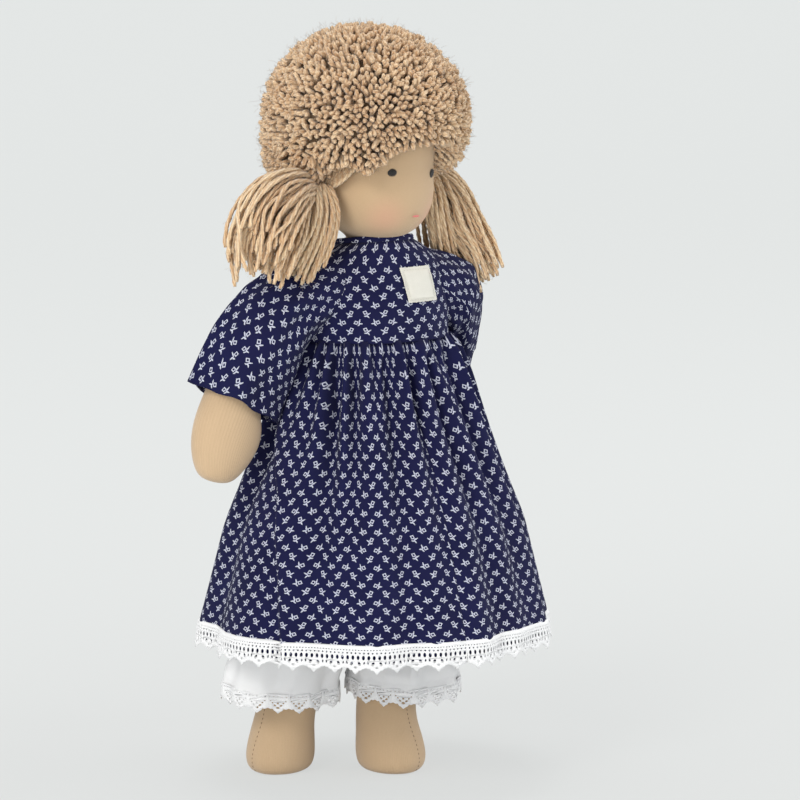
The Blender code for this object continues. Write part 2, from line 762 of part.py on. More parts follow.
def leg_rings(side, ankle_x, ankle_y, splay, inset):
    rings = []
    for drop_share, width_share, depth_share in LEG_SHARES:
        x, y, z = leg_row(side, ankle_x, ankle_y, drop_share)
        a, b = LEG_HALF_WIDTH * width_share - inset, LEG_HALF_DEPTH * depth_share - inset
        rings.append(soft_ring(x, y, z, a, max(b, SKIN), LEG_SIDES))
    turn = radians(side * splay)
    ahead = Matrix.Rotation(turn, 3, "Z") @ Vector((0, -1, 0))
    for up_share, width_share, length_share, forward_share in FOOT_SHARES:
        z = ANKLE_HEIGHT * up_share - FLAT_DEPTH - HIP_HEIGHT
        spot = Vector((ankle_x, ankle_y, z)) + ahead * FOOT_FORWARD * forward_share
        a, b = FOOT_HALF_WIDTH * width_share - inset, FOOT_HALF_LENGTH * length_share - inset
        rings.append(soft_ring(*spot, a, b, LEG_SIDES, turn))
    return rings


def leg(side, name, ankle_x, ankle_y, splay, parent):
    """A stuffed leg and foot, flat under the sole. At the hip its skin is pressed flat into a seam."""
    rings = leg_rings(side, ankle_x, ankle_y, splay, 0)
    skin = place(f"leg_skin_{name}", loft(f"leg_skin_{name}", rings, start_cap=False), jersey, parent)
    subdivide(skin)
    thicken(skin, SKIN)
    mesh = primitive(f"floor_{name}", bmesh.ops.create_cube, size=1)
    side_length = HIP_HEIGHT
    mesh.transform(Matrix.Diagonal((side_length, side_length, side_length, 1)))
    floor = cutter(f"floor_{name}", mesh, parent)
    floor.location = (ankle_x, ankle_y, -HIP_HEIGHT - side_length / 2)
    cut(skin, floor)
    mesh = primitive(f"hip_seam_{name}", bmesh.ops.create_cube, size=1)
    height = HIP_SEAM_TOP + LEG_TOP_DROP + HIP_SEAM_ROOT
    mesh.transform(Matrix.Diagonal((2 * HIP_SEAM_HALF_WIDTH, HIP_SEAM_THICKNESS, height, 1)))
    seam = cutter(f"hip_seam_{name}", mesh, parent)
    seam.location = (side * LEG_X, 0, HIP_SEAM_TOP - height / 2)
    cut(skin, seam, "UNION")
    inset = SKIN + 2 * STUFFING_GAP
    rings = leg_rings(side, ankle_x, ankle_y, splay, inset)
    rise = Vector((0, 0, SKIN + FLAT_DEPTH + STUFFING_GAP))
    rings[-1] = [point + rise for point in rings[-1]]
    filling = place(f"leg_stuffing_{name}", loft(f"leg_stuffing_{name}", rings[2:]), wool, parent)
    subdivide(filling)


def bodice_sizes(up_share):
    _, width_share, depth_share = between(BODICE_SHARES, up_share)
    z = WAIST_HEIGHT + BODICE_LENGTH * up_share
    return BODICE_HALF_WIDTH * width_share, BODICE_HALF_DEPTH * depth_share, z


def bodice_panel(name, start, end, columns, start_gap, end_gap, inset=0):
    """A strip of the bodice between two angles, with half a seam gap at each edge."""
    rows = []
    for row in BODICE_SHARES:
        a, b, z = bodice_sizes(row[0])
        a, b = a - inset, b - inset
        first = start + start_gap / (a * abs(sin(start)) + b * abs(cos(start)))
        last = end - end_gap / (a * abs(sin(end)) + b * abs(cos(end)))
        angles = [first + (last - first) * i / (columns - 1) for i in range(columns)]
        rows.append([Vector((a * cos(t), b * sin(t), z)) for t in angles])
    mesh = loft(name, rows, False, False, False)
    return mesh


def bodice_point(up_share, angle):
    """A point on the bodice's outside and the way that it faces there."""
    a, b, z = bodice_sizes(up_share)
    low_a, low_b, low_z = bodice_sizes(max(up_share - SLOPE_STEP_SHARE, 0))
    high_a, high_b, high_z = bodice_sizes(min(up_share + SLOPE_STEP_SHARE, 1))
    up = Vector(((high_a - low_a) * cos(angle), (high_b - low_b) * sin(angle), high_z - low_z))
    round_way = Vector((-a * sin(angle), b * cos(angle), 0))
    facing = round_way.cross(up).normalized()
    return Vector((a * cos(angle), b * sin(angle), z)), facing


def bodice():
    """The dress's upper part: a front, two back halves over a placket, and the bound neckline."""
    half_gap = SEAM_GAP / 2
    panels = (
        ("bodice_front", -pi, 0, BODICE_COLUMNS),
        ("bodice_back_left", 0, pi / 2, BODICE_COLUMNS // 2),
        ("bodice_back_right", pi / 2, pi, BODICE_COLUMNS // 2),
    )
    holes = []
    for side, side_name in ((-1, "right"), (1, "left")):
        mesh = disc(f"armhole_{side_name}", ARMHOLE_RADIUS, BODICE_HALF_WIDTH, ARMHOLE_SIDES)
        hole = cutter(f"armhole_{side_name}", mesh, doll)
        middle = SHOULDER_HALF_WIDTH - ARMHOLE_CUT_SHARE * ARMHOLE_RADIUS + BODICE_HALF_WIDTH / 2
        at_shoulder = Matrix.Translation((side * middle, 0, SHOULDER_HEIGHT))
        hole.matrix_local = at_shoulder @ Matrix.Rotation(pi / 2, 4, "Y")
        holes.append(hole)
    for name, start, end, columns in panels:
        panel = place(name, bodice_panel(name, start, end, columns, half_gap, half_gap), print_cloth, doll)
        thicken(panel, CLOTH)
        if name != "bodice_back_right":
            cut(panel, holes[1])
        if name != "bodice_back_left":
            cut(panel, holes[0])
    inset = CLOTH + 2 * LAYER_GAP
    half_angle = PLACKET_WIDTH / 2 / BODICE_HALF_WIDTH
    first, last = pi / 2 - half_angle, pi / 2 + half_angle
    strip = bodice_panel("placket", first, last, PLACKET_COLUMNS, 0, 0, inset)
    placket = place("placket", strip, print_cloth, doll)
    thicken(placket, CLOTH)
    for i in range(BUTTON_COUNT):
        up_share = LOWEST_BUTTON_SHARE + BUTTON_SPREAD_SHARE * i / (BUTTON_COUNT - 1)
        a, _, _ = bodice_sizes(up_share)
        point, facing = bodice_point(up_share, pi / 2 + BUTTON_SET_BACK / a)
        button(f"button_{i + 1}", point, facing)
    a, b, z = bodice_sizes(1)
    thread_ring(
        "neckline_binding",
        print_cloth,
        doll,
        Matrix.Translation((0, 0, z + NECKLINE_RADIUS + LAYER_GAP)),
        a - CLOTH / 2,
        b - CLOTH / 2,
        NECKLINE_RADIUS,
        THREAD_POINTS,
    )


def button(name, point, facing):
    mesh = disc(name, BUTTON_RADIUS, BUTTON_THICKNESS, BUTTON_SIDES)
    piece = place(name, mesh, button_finish, doll)
    stand = BUTTON_THICKNESS / 2 + LAYER_GAP
    turn = facing.to_track_quat("Z", "Y").to_matrix().to_4x4()
    piece.matrix_local = Matrix.Translation(point + facing * stand) @ turn


def patch():
    """A square of plain cloth, sewn on the chest."""
    reach = PATCH_SIDE / BODICE_LENGTH / 2
    rows = []
    for i in range(PATCH_COLUMNS):
        share = PATCH_RISE_SHARE + reach * (2 * i / (PATCH_COLUMNS - 1) - 1)
        a, b, z = bodice_sizes(share)
        a, b = a + LAYER_GAP + CLOTH, b + LAYER_GAP + CLOTH
        row = []
        for j in range(PATCH_COLUMNS):
            x = PATCH_X + PATCH_SIDE / 2 * (2 * j / (PATCH_COLUMNS - 1) - 1)
            row.append(Vector((x, -b * sqrt(1 - (x / a) ** 2), z)))
        rows.append(row)
    piece = place("chest_patch", loft("chest_patch", rows, False, False, False), cream_cloth, doll)
    thicken(piece, CLOTH / 2, 0)


def sleeve(side, name, shares, swing, parent):
    """A wide puffed sleeve, gathered into the armhole and open at its folded hem."""
    rings = []
    ring = []
    for i in range(SLEEVE_SIDES):
        angle = 2 * pi * i / SLEEVE_SIDES
        y, z = ARMHOLE_RADIUS * cos(angle), ARMHOLE_RADIUS * sin(angle)
        up_share = (SHOULDER_HEIGHT + z - WAIST_HEIGHT) / BODICE_LENGTH
        a, b, _ = bodice_sizes(min(max(up_share, 0), 1))
        tuck = SHOULDER_HALF_WIDTH - SLEEVE_TUCK_SHARE * ARMHOLE_RADIUS
        x = max(a * sqrt(max(1 - (y / b) ** 2, 0)), tuck)
        ring.append(Vector((side * (x - SHOULDER_HALF_WIDTH + SLEEVE_STAND + CLOTH), -side * y, z)))
    rings.append(ring)
    for i, (in_x, in_z, out_x, out_z, depth) in enumerate(shares):
        inner = Vector((side * in_x, 0, in_z)) * SLEEVE_LENGTH
        outer = Vector((side * out_x, 0, out_z)) * SLEEVE_LENGTH
        turn = Matrix.Rotation(radians(-swing) * min(1, (i + 1) / 2), 3, "X")
        centre = turn @ (inner + outer) / 2
        half = (outer - inner).length / 2
        across = turn @ (outer - inner).normalized()
        fold_share = (i + 1) / len(shares)

        def fold(angle, depth_here=SLEEVE_FOLD_DEPTH * fold_share):
            return depth_here * cos(SLEEVE_FOLDS * angle)

        points = ellipse(
            centre, across, turn @ Vector((0, side, 0)), half, depth * SLEEVE_LENGTH, SLEEVE_SIDES, fold
        )
        quarter = SLEEVE_SIDES // 4
        points = points[-quarter:] + points[:-quarter]
        rings.append(points)
    piece = place(f"sleeve_{name}", loft(f"sleeve_{name}", rings, False, False), print_cloth, parent)
    thicken(piece, CLOTH, 0)


def skirt_sizes(drop_share):
    _, width_share, depth_share, fold_share = between(SKIRT_SHARES, drop_share)
    a = BODICE_HALF_WIDTH + (SKIRT_HALF_WIDTH - BODICE_HALF_WIDTH) * width_share
    b = BODICE_HALF_DEPTH + (SKIRT_HALF_DEPTH - BODICE_HALF_DEPTH) * depth_share
    return a, b, fold_share * SKIRT_FOLD_DEPTH


def skirt_ring(drop_share, sides, z=None, gathers=True):
    a, b, depth = skirt_sizes(min(drop_share, 1))
    gather = GATHER_DEPTH * (1 - drop_share) if gathers else 0
    if z is None:
        z = WAIST_HEIGHT - SEAM_GAP - SKIRT_LENGTH * drop_share

    def fold(angle):
        return -depth * cos(SKIRT_FOLDS * angle) - gather * cos(sides / 2 * angle)

    return level_ring(0, 0, z, a, b, sides, fold)


def skirt():
    """The gathered skirt, whose gathers run together into a dozen main folds, and its lace."""
    sides = POINTS_PER_FOLD * SKIRT_FOLDS
    rings = [skirt_ring(row[0], sides) for row in SKIRT_SHARES]
    piece = place("skirt", loft("skirt", rings, False, False), print_cloth, doll)
    thicken(piece, CLOTH)
    sides = 2 * HEM_LACE_REPEATS
    top = WAIST_HEIGHT - SEAM_GAP - SKIRT_LENGTH - SEAM_GAP
    upper = skirt_ring(1, sides, top, False)
    lower = skirt_ring(1, sides, top - HEM_LACE_DROP, False)
    for i, point in enumerate(lower):
        point.z -= HEM_LACE_SCALLOP / 2 * (1 if i % 2 else -1)
    lace = place("hem_lace", loft("hem_lace", [upper, lower], False, False), lace_cotton, doll)
    thicken(lace, LACE)


def bloomers_leg_ring(side, ankle_x, ankle_y, inner_ease, z, ease_share, sides):
    """A ring of a bloomers leg, which hangs off its leg more on the outer side."""
    drop_share = (HIP_HEIGHT - z) / (HIP_HEIGHT - ANKLE_HEIGHT)
    x, y, _ = leg_row(side, ankle_x, ankle_y, max(drop_share, 0))
    outer, inner = OUTER_EASE * ease_share, inner_ease * ease_share**2
    half_width = LEG_HALF_WIDTH + (outer + inner) / 2
    half_depth = LEG_HALF_DEPTH + DEPTH_EASE * sqrt(ease_share)
    middle_x = x + side * (outer - inner) / 2
    return level_ring(middle_x, y, z - HIP_HEIGHT, half_width, half_depth, sides)


def bloomers_seat():
    """The seat of the cotton bloomers, with the elastic in its waist."""
    height = BLOOMERS_TOP - BLOOMERS_CROTCH
    rings = []
    for up_share, width_share, depth_share in BLOOMERS_SEAT_SHARES:
        a, b = BLOOMERS_HALF_WIDTH * width_share, BLOOMERS_HALF_DEPTH * depth_share
        z = BLOOMERS_CROTCH + SEAM_GAP + height * up_share
        rings.append(level_ring(0, 0, z, a, b, SEAT_SIDES))
    seat = place("bloomers_seat", loft("bloomers_seat", rings, False, False), white_cotton, doll)
    thicken(seat, CLOTH)
    _, width_share, depth_share = BLOOMERS_SEAT_SHARES[-1]
    top = BLOOMERS_TOP + 2 * SEAM_GAP + ELASTIC_RADIUS
    thread_ring(
        "waist_elastic",
        white_cotton,
        doll,
        Matrix.Translation((0, 0, top)),
        BLOOMERS_HALF_WIDTH * width_share - CLOTH / 2,
        BLOOMERS_HALF_DEPTH * depth_share - CLOTH / 2,
        ELASTIC_RADIUS,
        THREAD_POINTS,
    )


def bloomers_leg(side, name, ankle_x, ankle_y, inner_ease, parent):
    """A wide leg of the bloomers, gathered a little at its hem over a scalloped lace cuff."""
    rings = []
    for drop_share, ease_share in BLOOMERS_LEG_SHARES:
        z = BLOOMERS_CROTCH - (BLOOMERS_CROTCH - BLOOMERS_HEM) * drop_share
        rings.append(bloomers_leg_ring(side, ankle_x, ankle_y, inner_ease, z, ease_share, BLOOMERS_SIDES))
    mesh = loft(f"bloomers_leg_{name}", rings, False, False)
    thicken(place(f"bloomers_leg_{name}", mesh, white_cotton, parent), CLOTH)
    ease_share = BLOOMERS_LEG_SHARES[-1][1]
    top, sides = BLOOMERS_HEM - SEAM_GAP, 2 * CUFF_LACE_REPEATS
    upper = bloomers_leg_ring(side, ankle_x, ankle_y, inner_ease, top, ease_share, sides)
    lower = [point - Vector((0, 0, CUFF_LACE_DROP)) for point in upper]
    for i, point in enumerate(lower):
        point.z -= CUFF_LACE_SCALLOP / 2 * (1 if i % 2 else -1)
    mesh = loft(f"bloomers_lace_{name}", [upper, lower], False, False)
    thicken(place(f"bloomers_lace_{name}", mesh, lace_cotton, parent), LACE)


for old in list(bpy.data.objects):
    bpy.data.objects.remove(old)
doll_collection = bpy.data.collections.new("waldorf_doll")
cutter_collection = bpy.data.collections.new("waldorf_doll_cutters")
for collection in (doll_collection, cutter_collection):
    bpy.context.scene.collection.children.link(collection)

jersey = material("skin_jersey", (0.52, 0.36, 0.23), 0.9)
wool = material("wool_stuffing", (0.80, 0.76, 0.66), 1.0)
yarn = material("wig_yarn", (0.45, 0.30, 0.20), 0.95)
print_cloth = material("print_cotton", (0.016, 0.016, 0.10), 0.85)
white_cotton = material("white_cotton", (0.82, 0.82, 0.84), 0.9)
lace_cotton = material("cotton_lace", (0.86, 0.86, 0.87), 0.9)
cream_cloth = material("cream_cloth", (0.72, 0.68, 0.58), 0.9)
thread_white = material("thread", (0.85, 0.83, 0.78), 0.8)
thread_dark = material("eye_thread", (0.02, 0.015, 0.012), 0.6)
thread_pink = material("mouth_thread", (0.55, 0.16, 0.13), 0.7)
button_finish = material("button_shell", (0.85, 0.83, 0.78), 0.35)
cutter_finish = material("cutter", (1, 0, 0), 1.0)

doll = pivot("doll", Vector((BODY_X, BODY_Y, 0)))
doll_matrix = Matrix.Translation((BODY_X, BODY_Y, 0))
neck_pivot = pivot("neck_pivot", Vector((NECK_X, NECK_Y, NECK_HEIGHT)), None, doll)
head_turned = (
    Matrix.Rotation(radians(HEAD_ROLL), 4, "Y")
    @ Matrix.Rotation(radians(HEAD_NOD), 4, "X")
    @ Matrix.Rotation(radians(HEAD_TURN), 4, "Z")
)
head_pivot = pivot("head_pivot", Vector(), head_turned, neck_pivot)
head_matrix = doll_matrix @ Matrix.Translation((NECK_X, NECK_Y, NECK_HEIGHT)) @ head_turned

torso()
head()
face()
neck_thread()
hair()
pigtail(-1, "right", PIGTAIL_RIGHT_SHARES)
pigtail(1, "left", PIGTAIL_LEFT_SHARES)
for side, name, lean_share, seat, swing, sleeve_shares in (
    (-1, "right", 1, ARM_SEAT_RIGHT, ARM_SWING_RIGHT, SLEEVE_RIGHT_SHARES),
    (1, "left", ARM_LEAN_LEFT_SHARE, ARM_SEAT_LEFT, ARM_SWING_LEFT, SLEEVE_LEFT_SHARES),
):
    seam = Vector((side * SHOULDER_HALF_WIDTH, 0, SHOULDER_HEIGHT))
    shoulder = pivot(f"shoulder_pivot_{name}", seam, None, doll)
    hang = pivot(f"arm_hang_{name}", Vector(), Matrix.Rotation(radians(-swing), 4, "X"), shoulder)
    arm(side, name, lean_share, seat, hang)
    sleeve(side, name, sleeve_shares, swing, shoulder)
for side, name, ankle_x, ankle_y, splay, inner_ease in (
    (-1, "right", ANKLE_RIGHT_X, ANKLE_RIGHT_Y, SPLAY_RIGHT, INNER_EASE_RIGHT),
    (1, "left", ANKLE_LEFT_X, ANKLE_LEFT_Y, SPLAY_LEFT, INNER_EASE_LEFT),
):
    hip = pivot(f"hip_pivot_{name}", Vector((0, 0, HIP_HEIGHT)), None, doll)
    leg(side, name, ankle_x, ankle_y, splay, hip)
    bloomers_leg(side, name, ankle_x, ankle_y, inner_ease, hip)
bodice()
patch()
skirt()
bloomers_seat()
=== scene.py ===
"""The looks of a waldorf doll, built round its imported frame.

Metres, +Z up. The doll faces -Y and its left side is at +X. The sections follow the doll as it
is put together: the light table it stands on, then body, head, hair, limbs, bloomers and dress.
"""

import bmesh
import bpy
import numpy as np
from math import atan2, cos, degrees, exp, pi, radians, sin, sqrt, tanh
from mathutils import Matrix, Vector, noise


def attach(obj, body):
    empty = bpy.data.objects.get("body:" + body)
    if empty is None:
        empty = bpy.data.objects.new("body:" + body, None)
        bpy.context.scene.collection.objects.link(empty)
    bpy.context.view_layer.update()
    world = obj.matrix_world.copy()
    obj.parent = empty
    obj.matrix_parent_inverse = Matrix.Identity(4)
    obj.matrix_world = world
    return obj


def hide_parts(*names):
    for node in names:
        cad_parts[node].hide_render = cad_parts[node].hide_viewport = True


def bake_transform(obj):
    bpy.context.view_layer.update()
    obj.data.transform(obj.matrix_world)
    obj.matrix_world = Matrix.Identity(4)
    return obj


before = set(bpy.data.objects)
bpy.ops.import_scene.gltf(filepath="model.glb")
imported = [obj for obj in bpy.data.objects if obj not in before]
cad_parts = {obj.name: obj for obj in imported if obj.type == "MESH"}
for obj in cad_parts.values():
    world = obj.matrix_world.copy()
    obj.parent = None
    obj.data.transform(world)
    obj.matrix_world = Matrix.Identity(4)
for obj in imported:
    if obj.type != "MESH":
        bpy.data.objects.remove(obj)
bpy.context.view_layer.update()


# The table: a pale studio sheet that curves up behind the doll, lit from its right and softly
# from its left. It isn't part of the doll. The camera stands low in front of its right side.
BODY_X = 0.0100
LOOK_AT = Vector((0.0217, -0.0072, 0.2009))
CAMERA_DISTANCE = 2.6
CAMERA_AZIMUTH = -31.4
CAMERA_ELEVATION = 8.13
FRAME_WIDTH = 0.4266
SENSOR = 36.0
TABLE_HALF = 6.0
PALE = (0.80, 0.815, 0.81)
SHOWN_NEAR, SHOWN_FAR = (0.722, 0.737, 0.729), (0.87, 0.895, 0.885)
SHOWN_SHARE = 0.83


class Wire:
    """One socket in a material. Sums on it add Math nodes, and node() adds any other node."""

    def __init__(self, tree, socket=None):
        self.tree, self.socket = tree, socket

    def node(self, kind, settings=None, sockets=None, out=0):
        made = self.tree.nodes.new("ShaderNode" + kind)
        for key, value in (settings or {}).items():
            if key == "stops":
                ramp = made.color_ramp
                while len(ramp.elements) < len(value):
                    ramp.elements.new(0.5)
                for stop, (at, colour) in zip(ramp.elements, value):
                    stop.position, stop.color = at, colour
            else:
                setattr(made, key, value)
        for key, value in (sockets or {}).items():
            if isinstance(value, Wire):
                self.tree.links.new(value.socket, made.inputs[key])
            else:
                made.inputs[key].default_value = value
        return Wire(self.tree, made.outputs[out])

    def maths(self, operation, *values, clamp=False):
        chosen = {"operation": operation, "use_clamp": clamp}
        return self.node("Math", chosen, dict(enumerate(values)))

    def place(self):
        """Where the surface is, in the object's own coordinates."""
        return self.node("TexCoord", out=3)

    def cloth(self):
        """The cloth's own map, in metres."""
        return self.node("UVMap", {"uv_map": "cloth"})

    def part(self, out):
        return self.node("SeparateXYZ", None, {0: self}, out)

    def noise(self, at, scale, detail):
        return self.node("TexNoise", None, {"Vector": at, "Scale": scale, "Detail": detail})


SUMS = {"add": "ADD", "sub": "SUBTRACT", "mul": "MULTIPLY", "truediv": "DIVIDE"}
for symbol, operation in SUMS.items():
    setattr(Wire, f"__{symbol}__", lambda a, b, does=operation: a.maths(does, a, b))
    setattr(Wire, f"__r{symbol}__", lambda a, b, does=operation: a.maths(does, b, a))


def finish_named(name, colour, roughness, sheen=0.0):
    """A material with its shader: (material, a Wire to start from, the shader node)."""
    made = bpy.data.materials.new(name)
    made.use_nodes = True
    shader = made.node_tree.nodes["Principled BSDF"]
    shader.inputs["Base Color"].default_value = (*colour, 1)
    shader.inputs["Roughness"].default_value = roughness
    shader.inputs["Sheen Weight"].default_value = sheen
    return made, Wire(made.node_tree), shader


def feed(wire, shader, socket):
    wire.tree.links.new(wire.socket, shader.inputs[socket])


def mixed(share, low, high):
    """The mix of two colours, each a Wire or three numbers, at a share."""
    sockets = {"Factor": share}
    for key, value in ((6, low), (7, high)):
        sockets[key] = value if isinstance(value, Wire) else (*value, 1)
    return share.node("Mix", {"data_type": "RGBA"}, sockets, out=2)


def tinted(shader, share, low, high):
    feed(mixed(share, low, high), shader, "Base Color")


def bumped(shader, height, strength, distance):
    sockets = {"Strength": strength, "Distance": distance, "Height": height}
    feed(height.node("Bump", None, sockets), shader, "Normal")


def deselected():
    if bpy.context.mode != "OBJECT":
        bpy.ops.object.mode_set(mode="OBJECT")
    bpy.ops.object.select_all(action="DESELECT")


def all_selected():
    bpy.ops.object.mode_set(mode="EDIT")
    bpy.ops.mesh.select_all(action="SELECT")


def chosen(kind, test):
    """Selects, in edit mode, only the edges or faces that pass a test."""
    bpy.ops.mesh.select_mode(type=kind)
    bpy.ops.mesh.select_all(action="DESELECT")
    mesh = bmesh.from_edit_mesh(bpy.context.object.data)
    for part in mesh.edges if kind == "EDGE" else mesh.faces:
        part.select_set(test(part))
    bmesh.update_edit_mesh(bpy.context.object.data)


def placed(mesh):
    """Adds an object for a finished mesh."""
    deselected()
    bpy.ops.object.add(type="MESH")
    bpy.context.object.data = mesh


def merged(reach):
    """Joins the points of the object just made that lie within this reach."""
    all_selected()
    bpy.ops.mesh.remove_doubles(threshold=reach)
    bpy.ops.object.mode_set(mode="OBJECT")


def joined(strands):
    """Joins several objects into one."""
    deselected()
    for strand in strands:
        strand.select_set(True)
    bpy.context.view_layer.objects.active = strands[0]
    bpy.ops.object.join()


def named(name, finish):
    """Names the object just made, gives it its finish, and puts its place into its mesh."""
    piece = bpy.context.object
    piece.name = piece.data.name = name
    bpy.ops.object.transform_apply(location=True, rotation=True, scale=True)
    piece.data.materials.clear()
    piece.data.materials.append(finish)
    piece.data.shade_smooth()
    return piece


def fitted(piece, body, slot, *nodes):
    """Ties a finished piece to its body and hides the nodes that it stands for. Its slot is not
    used.
    """
    if body:
        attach(piece, body)
    if nodes:
        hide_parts(*nodes)


pale, wire, shader = finish_named("studio_sheet", PALE, 1.0)
seen = wire.node("LightPath") + wire.node("LightPath", out=3) + wire.node("LightPath", out=6)
seen = seen.maths("MULTIPLY", seen, SHOWN_SHARE, clamp=True)
reach = wire.node("VectorMath", {"operation": "LENGTH"}, {0: wire.place()}, out=1)
far = wire.maths("DIVIDE", reach - 0.2, reach + 0.8, clamp=True)
glow = wire.node("Emission", None, {"Color": mixed(far, SHOWN_NEAR, SHOWN_FAR), "Strength": 1.0})
lit = Wire(pale.node_tree, shader.outputs[0])
shown = wire.node("MixShader", None, {0: seen, 1: lit, 2: glow})
pale.node_tree.links.new(shown.socket, pale.node_tree.nodes["Material Output"].inputs[0])
deselected()
bpy.ops.mesh.primitive_plane_add(size=2 * TABLE_HALF)
bpy.ops.object.mode_set(mode="EDIT")
chosen("EDGE", lambda edge: all(vert.co.y > 0 for vert in edge.verts))
bpy.ops.mesh.extrude_edges_move(TRANSFORM_OT_translate={"value": (0, 0, TABLE_HALF)})
chosen("EDGE", lambda edge: all(vert.co.y > 0 and abs(vert.co.z) < 1e-6 for vert in edge.verts))
bpy.ops.mesh.bevel(offset=TABLE_HALF / 2, segments=24)
bpy.ops.object.mode_set(mode="OBJECT")
table = named("studio_sheet", pale)
table.data.transform(Matrix.Rotation(radians(CAMERA_AZIMUTH), 4, "Z"))

world = bpy.data.worlds.new("studio")
world.use_nodes = True
bpy.context.scene.world = world
backdrop = world.node_tree.nodes["Background"]
backdrop.inputs["Color"].default_value = (0.96, 0.98, 1.0, 1)
backdrop.inputs["Strength"].default_value = 0.50

for name, place_at, size, power, colour in (
    ("key_light", (-1.9, -1.1, 1.5), 0.9, 25, (1.0, 0.985, 0.96)),
    ("front_light", (-1.9, -1.5, 0.25), 1.0, 18, (1.0, 0.99, 0.98)),
    ("fill_light", (1.5, -1.8, 0.9), 1.2, 13, (0.98, 0.99, 1.0)),
    ("side_light", (1.9, -0.3, 1.1), 1.0, 13, (1.0, 0.99, 0.98)),
    ("top_light", (0.1, 0.5, 2.2), 1.2, 20, (1.0, 1.0, 1.0)),
):
    deselected()
    bpy.ops.object.light_add(type="AREA", location=place_at)
    lamp = bpy.context.object
    lamp.name = name
    lamp.data.size = size
    lamp.data.energy = power
    lamp.data.color = colour
    towards = Vector((0, 0, 0.2)) - Vector(place_at)
    lamp.rotation_euler = towards.to_track_quat("-Z", "Y").to_euler()

azimuth, elevation = radians(CAMERA_AZIMUTH), radians(CAMERA_ELEVATION)
back = Vector((sin(azimuth) * cos(elevation), -cos(azimuth) * cos(elevation), sin(elevation)))
deselected()
bpy.ops.object.camera_add(location=LOOK_AT + back * CAMERA_DISTANCE)
camera = bpy.context.object
camera.name = "camera"
camera.data.sensor_width = SENSOR
camera.data.lens = SENSOR * CAMERA_DISTANCE / FRAME_WIDTH
camera.rotation_euler = back.to_track_quat("Z", "Y").to_euler()
bpy.context.scene.camera = camera
bpy.context.scene.view_settings.view_transform = "Standard"


# The body: a bag of cotton jersey filled hard with wool, hidden by the dress. It is sewn from
# one tube of jersey, pressed flat along the hips, where the legs are sewn on.
JERSEY_COLOUR = (0.59, 0.425, 0.265)
JERSEY_RIB = 0.00066
TORSO_LENGTH, HIP_HEIGHT = 0.140, 0.141
NECK_HEIGHT = HIP_HEIGHT + TORSO_LENGTH
TORSO_HALF_WIDTH, TORSO_HALF_DEPTH = 0.042, 0.0299
# Rows: height above the hip seam, half width, half depth
TORSO_SHARES = (
    (0.0, 0.96, 0.096),
    (0.050, 1.0, 0.30),
    (0.110, 1.0, 0.61),
    (0.19, 1.0, 0.90),
    (0.336, 0.955, 1.0),
    (0.84, 0.89, 1.0),
    (0.934, 0.80, 0.76),
    (0.982, 0.57, 0.60),
    (1.0, 0.45, 0.54),
)


def jersey_named(name, colour, blush=None):
    """Fine cotton jersey: its ribs run along v, with loops in each rib."""
    made, wire, shader = finish_named(name, colour, 0.92, 0.25)
    cloth = wire.cloth()
    apart = cloth.part(0)
    up = cloth.part(1)
    rib = wire.maths("SINE", apart * (2 * pi / JERSEY_RIB))
    loops = wire.maths("SINE", up * (2 * pi / (0.8 * JERSEY_RIB)))
    place_at = wire.place()
    blotch = wire.noise(place_at, 60.0, 3.0)
    fine = wire.noise(place_at, 1400.0, 2.0)
    shade = rib * 0.05 + loops * 0.03 + (blotch - 0.5) * 0.16 + (fine - 0.5) * 0.22 + 0.5
    dark = tuple(c * f for c, f in zip(colour, (0.76, 0.72, 0.66)))
    light = tuple(min(1, c * f) for c, f in zip(colour, (1.16, 1.17, 1.18)))
    tint = mixed(shade, dark, light)
    if blush:
        for spot, reach, share, red in blush:
            near = wire.node(
                "VectorMath", {"operation": "DISTANCE"}, {0: place_at, 1: spot}, out=1
            )
            fade = wire.maths("SUBTRACT", 1.0, near / reach, clamp=True)
            tint = mixed(fade * fade * (3 - 2 * fade) * share, tint, red)
    feed(tint, shader, "Base Color")
    height = rib * 0.5 + loops * 0.25 + fine * 0.6
    bumped(shader, height, 0.5, 0.0002)
    return made


def cage(sides, rings, lobe=1.0):
    """Adds a tube: a circle is extruded from ring to ring. A ring is a matrix for the circle."""
    deselected()
    bpy.ops.mesh.primitive_circle_add(vertices=sides, radius=1)
    piece = bpy.context.object
    for vert in piece.data.vertices:
        vert.co *= lobe if vert.index % 2 else 1.0
    piece.data.transform(rings[0])
    all_selected()
    for last, ring in zip(rings, rings[1:]):
        bpy.ops.mesh.extrude_edges_move()
        step = ring @ last.inverted()
        mesh = bmesh.from_edit_mesh(piece.data)
        for vert in mesh.verts:
            if vert.select:
                vert.co = step @ vert.co
        bmesh.update_edit_mesh(piece.data)
    return piece


def flat_ring(x, y, z, half_width, half_depth, turn=0.0):
    size = Matrix.Diagonal((half_width, half_depth, 1, 1))
    return Matrix.Translation((x, y, z)) @ Matrix.Rotation(turn, 4, "Z") @ size


def close_ends(start=False, end=False):
    """Fills the first or last ring of the tube in edit mode, and turns its faces outwards."""
    if start:
        mesh = bmesh.from_edit_mesh(bpy.context.object.data)
        rim = [edge for edge in mesh.edges if edge.is_boundary and not edge.select]
        bmesh.ops.holes_fill(mesh, edges=rim, sides=0)
        bmesh.update_edit_mesh(bpy.context.object.data)
    if end:
        bpy.ops.mesh.edge_face_add()
    bpy.ops.mesh.select_all(action="SELECT")
    bpy.ops.mesh.normals_make_consistent(inside=False)
    bpy.ops.object.mode_set(mode="OBJECT")


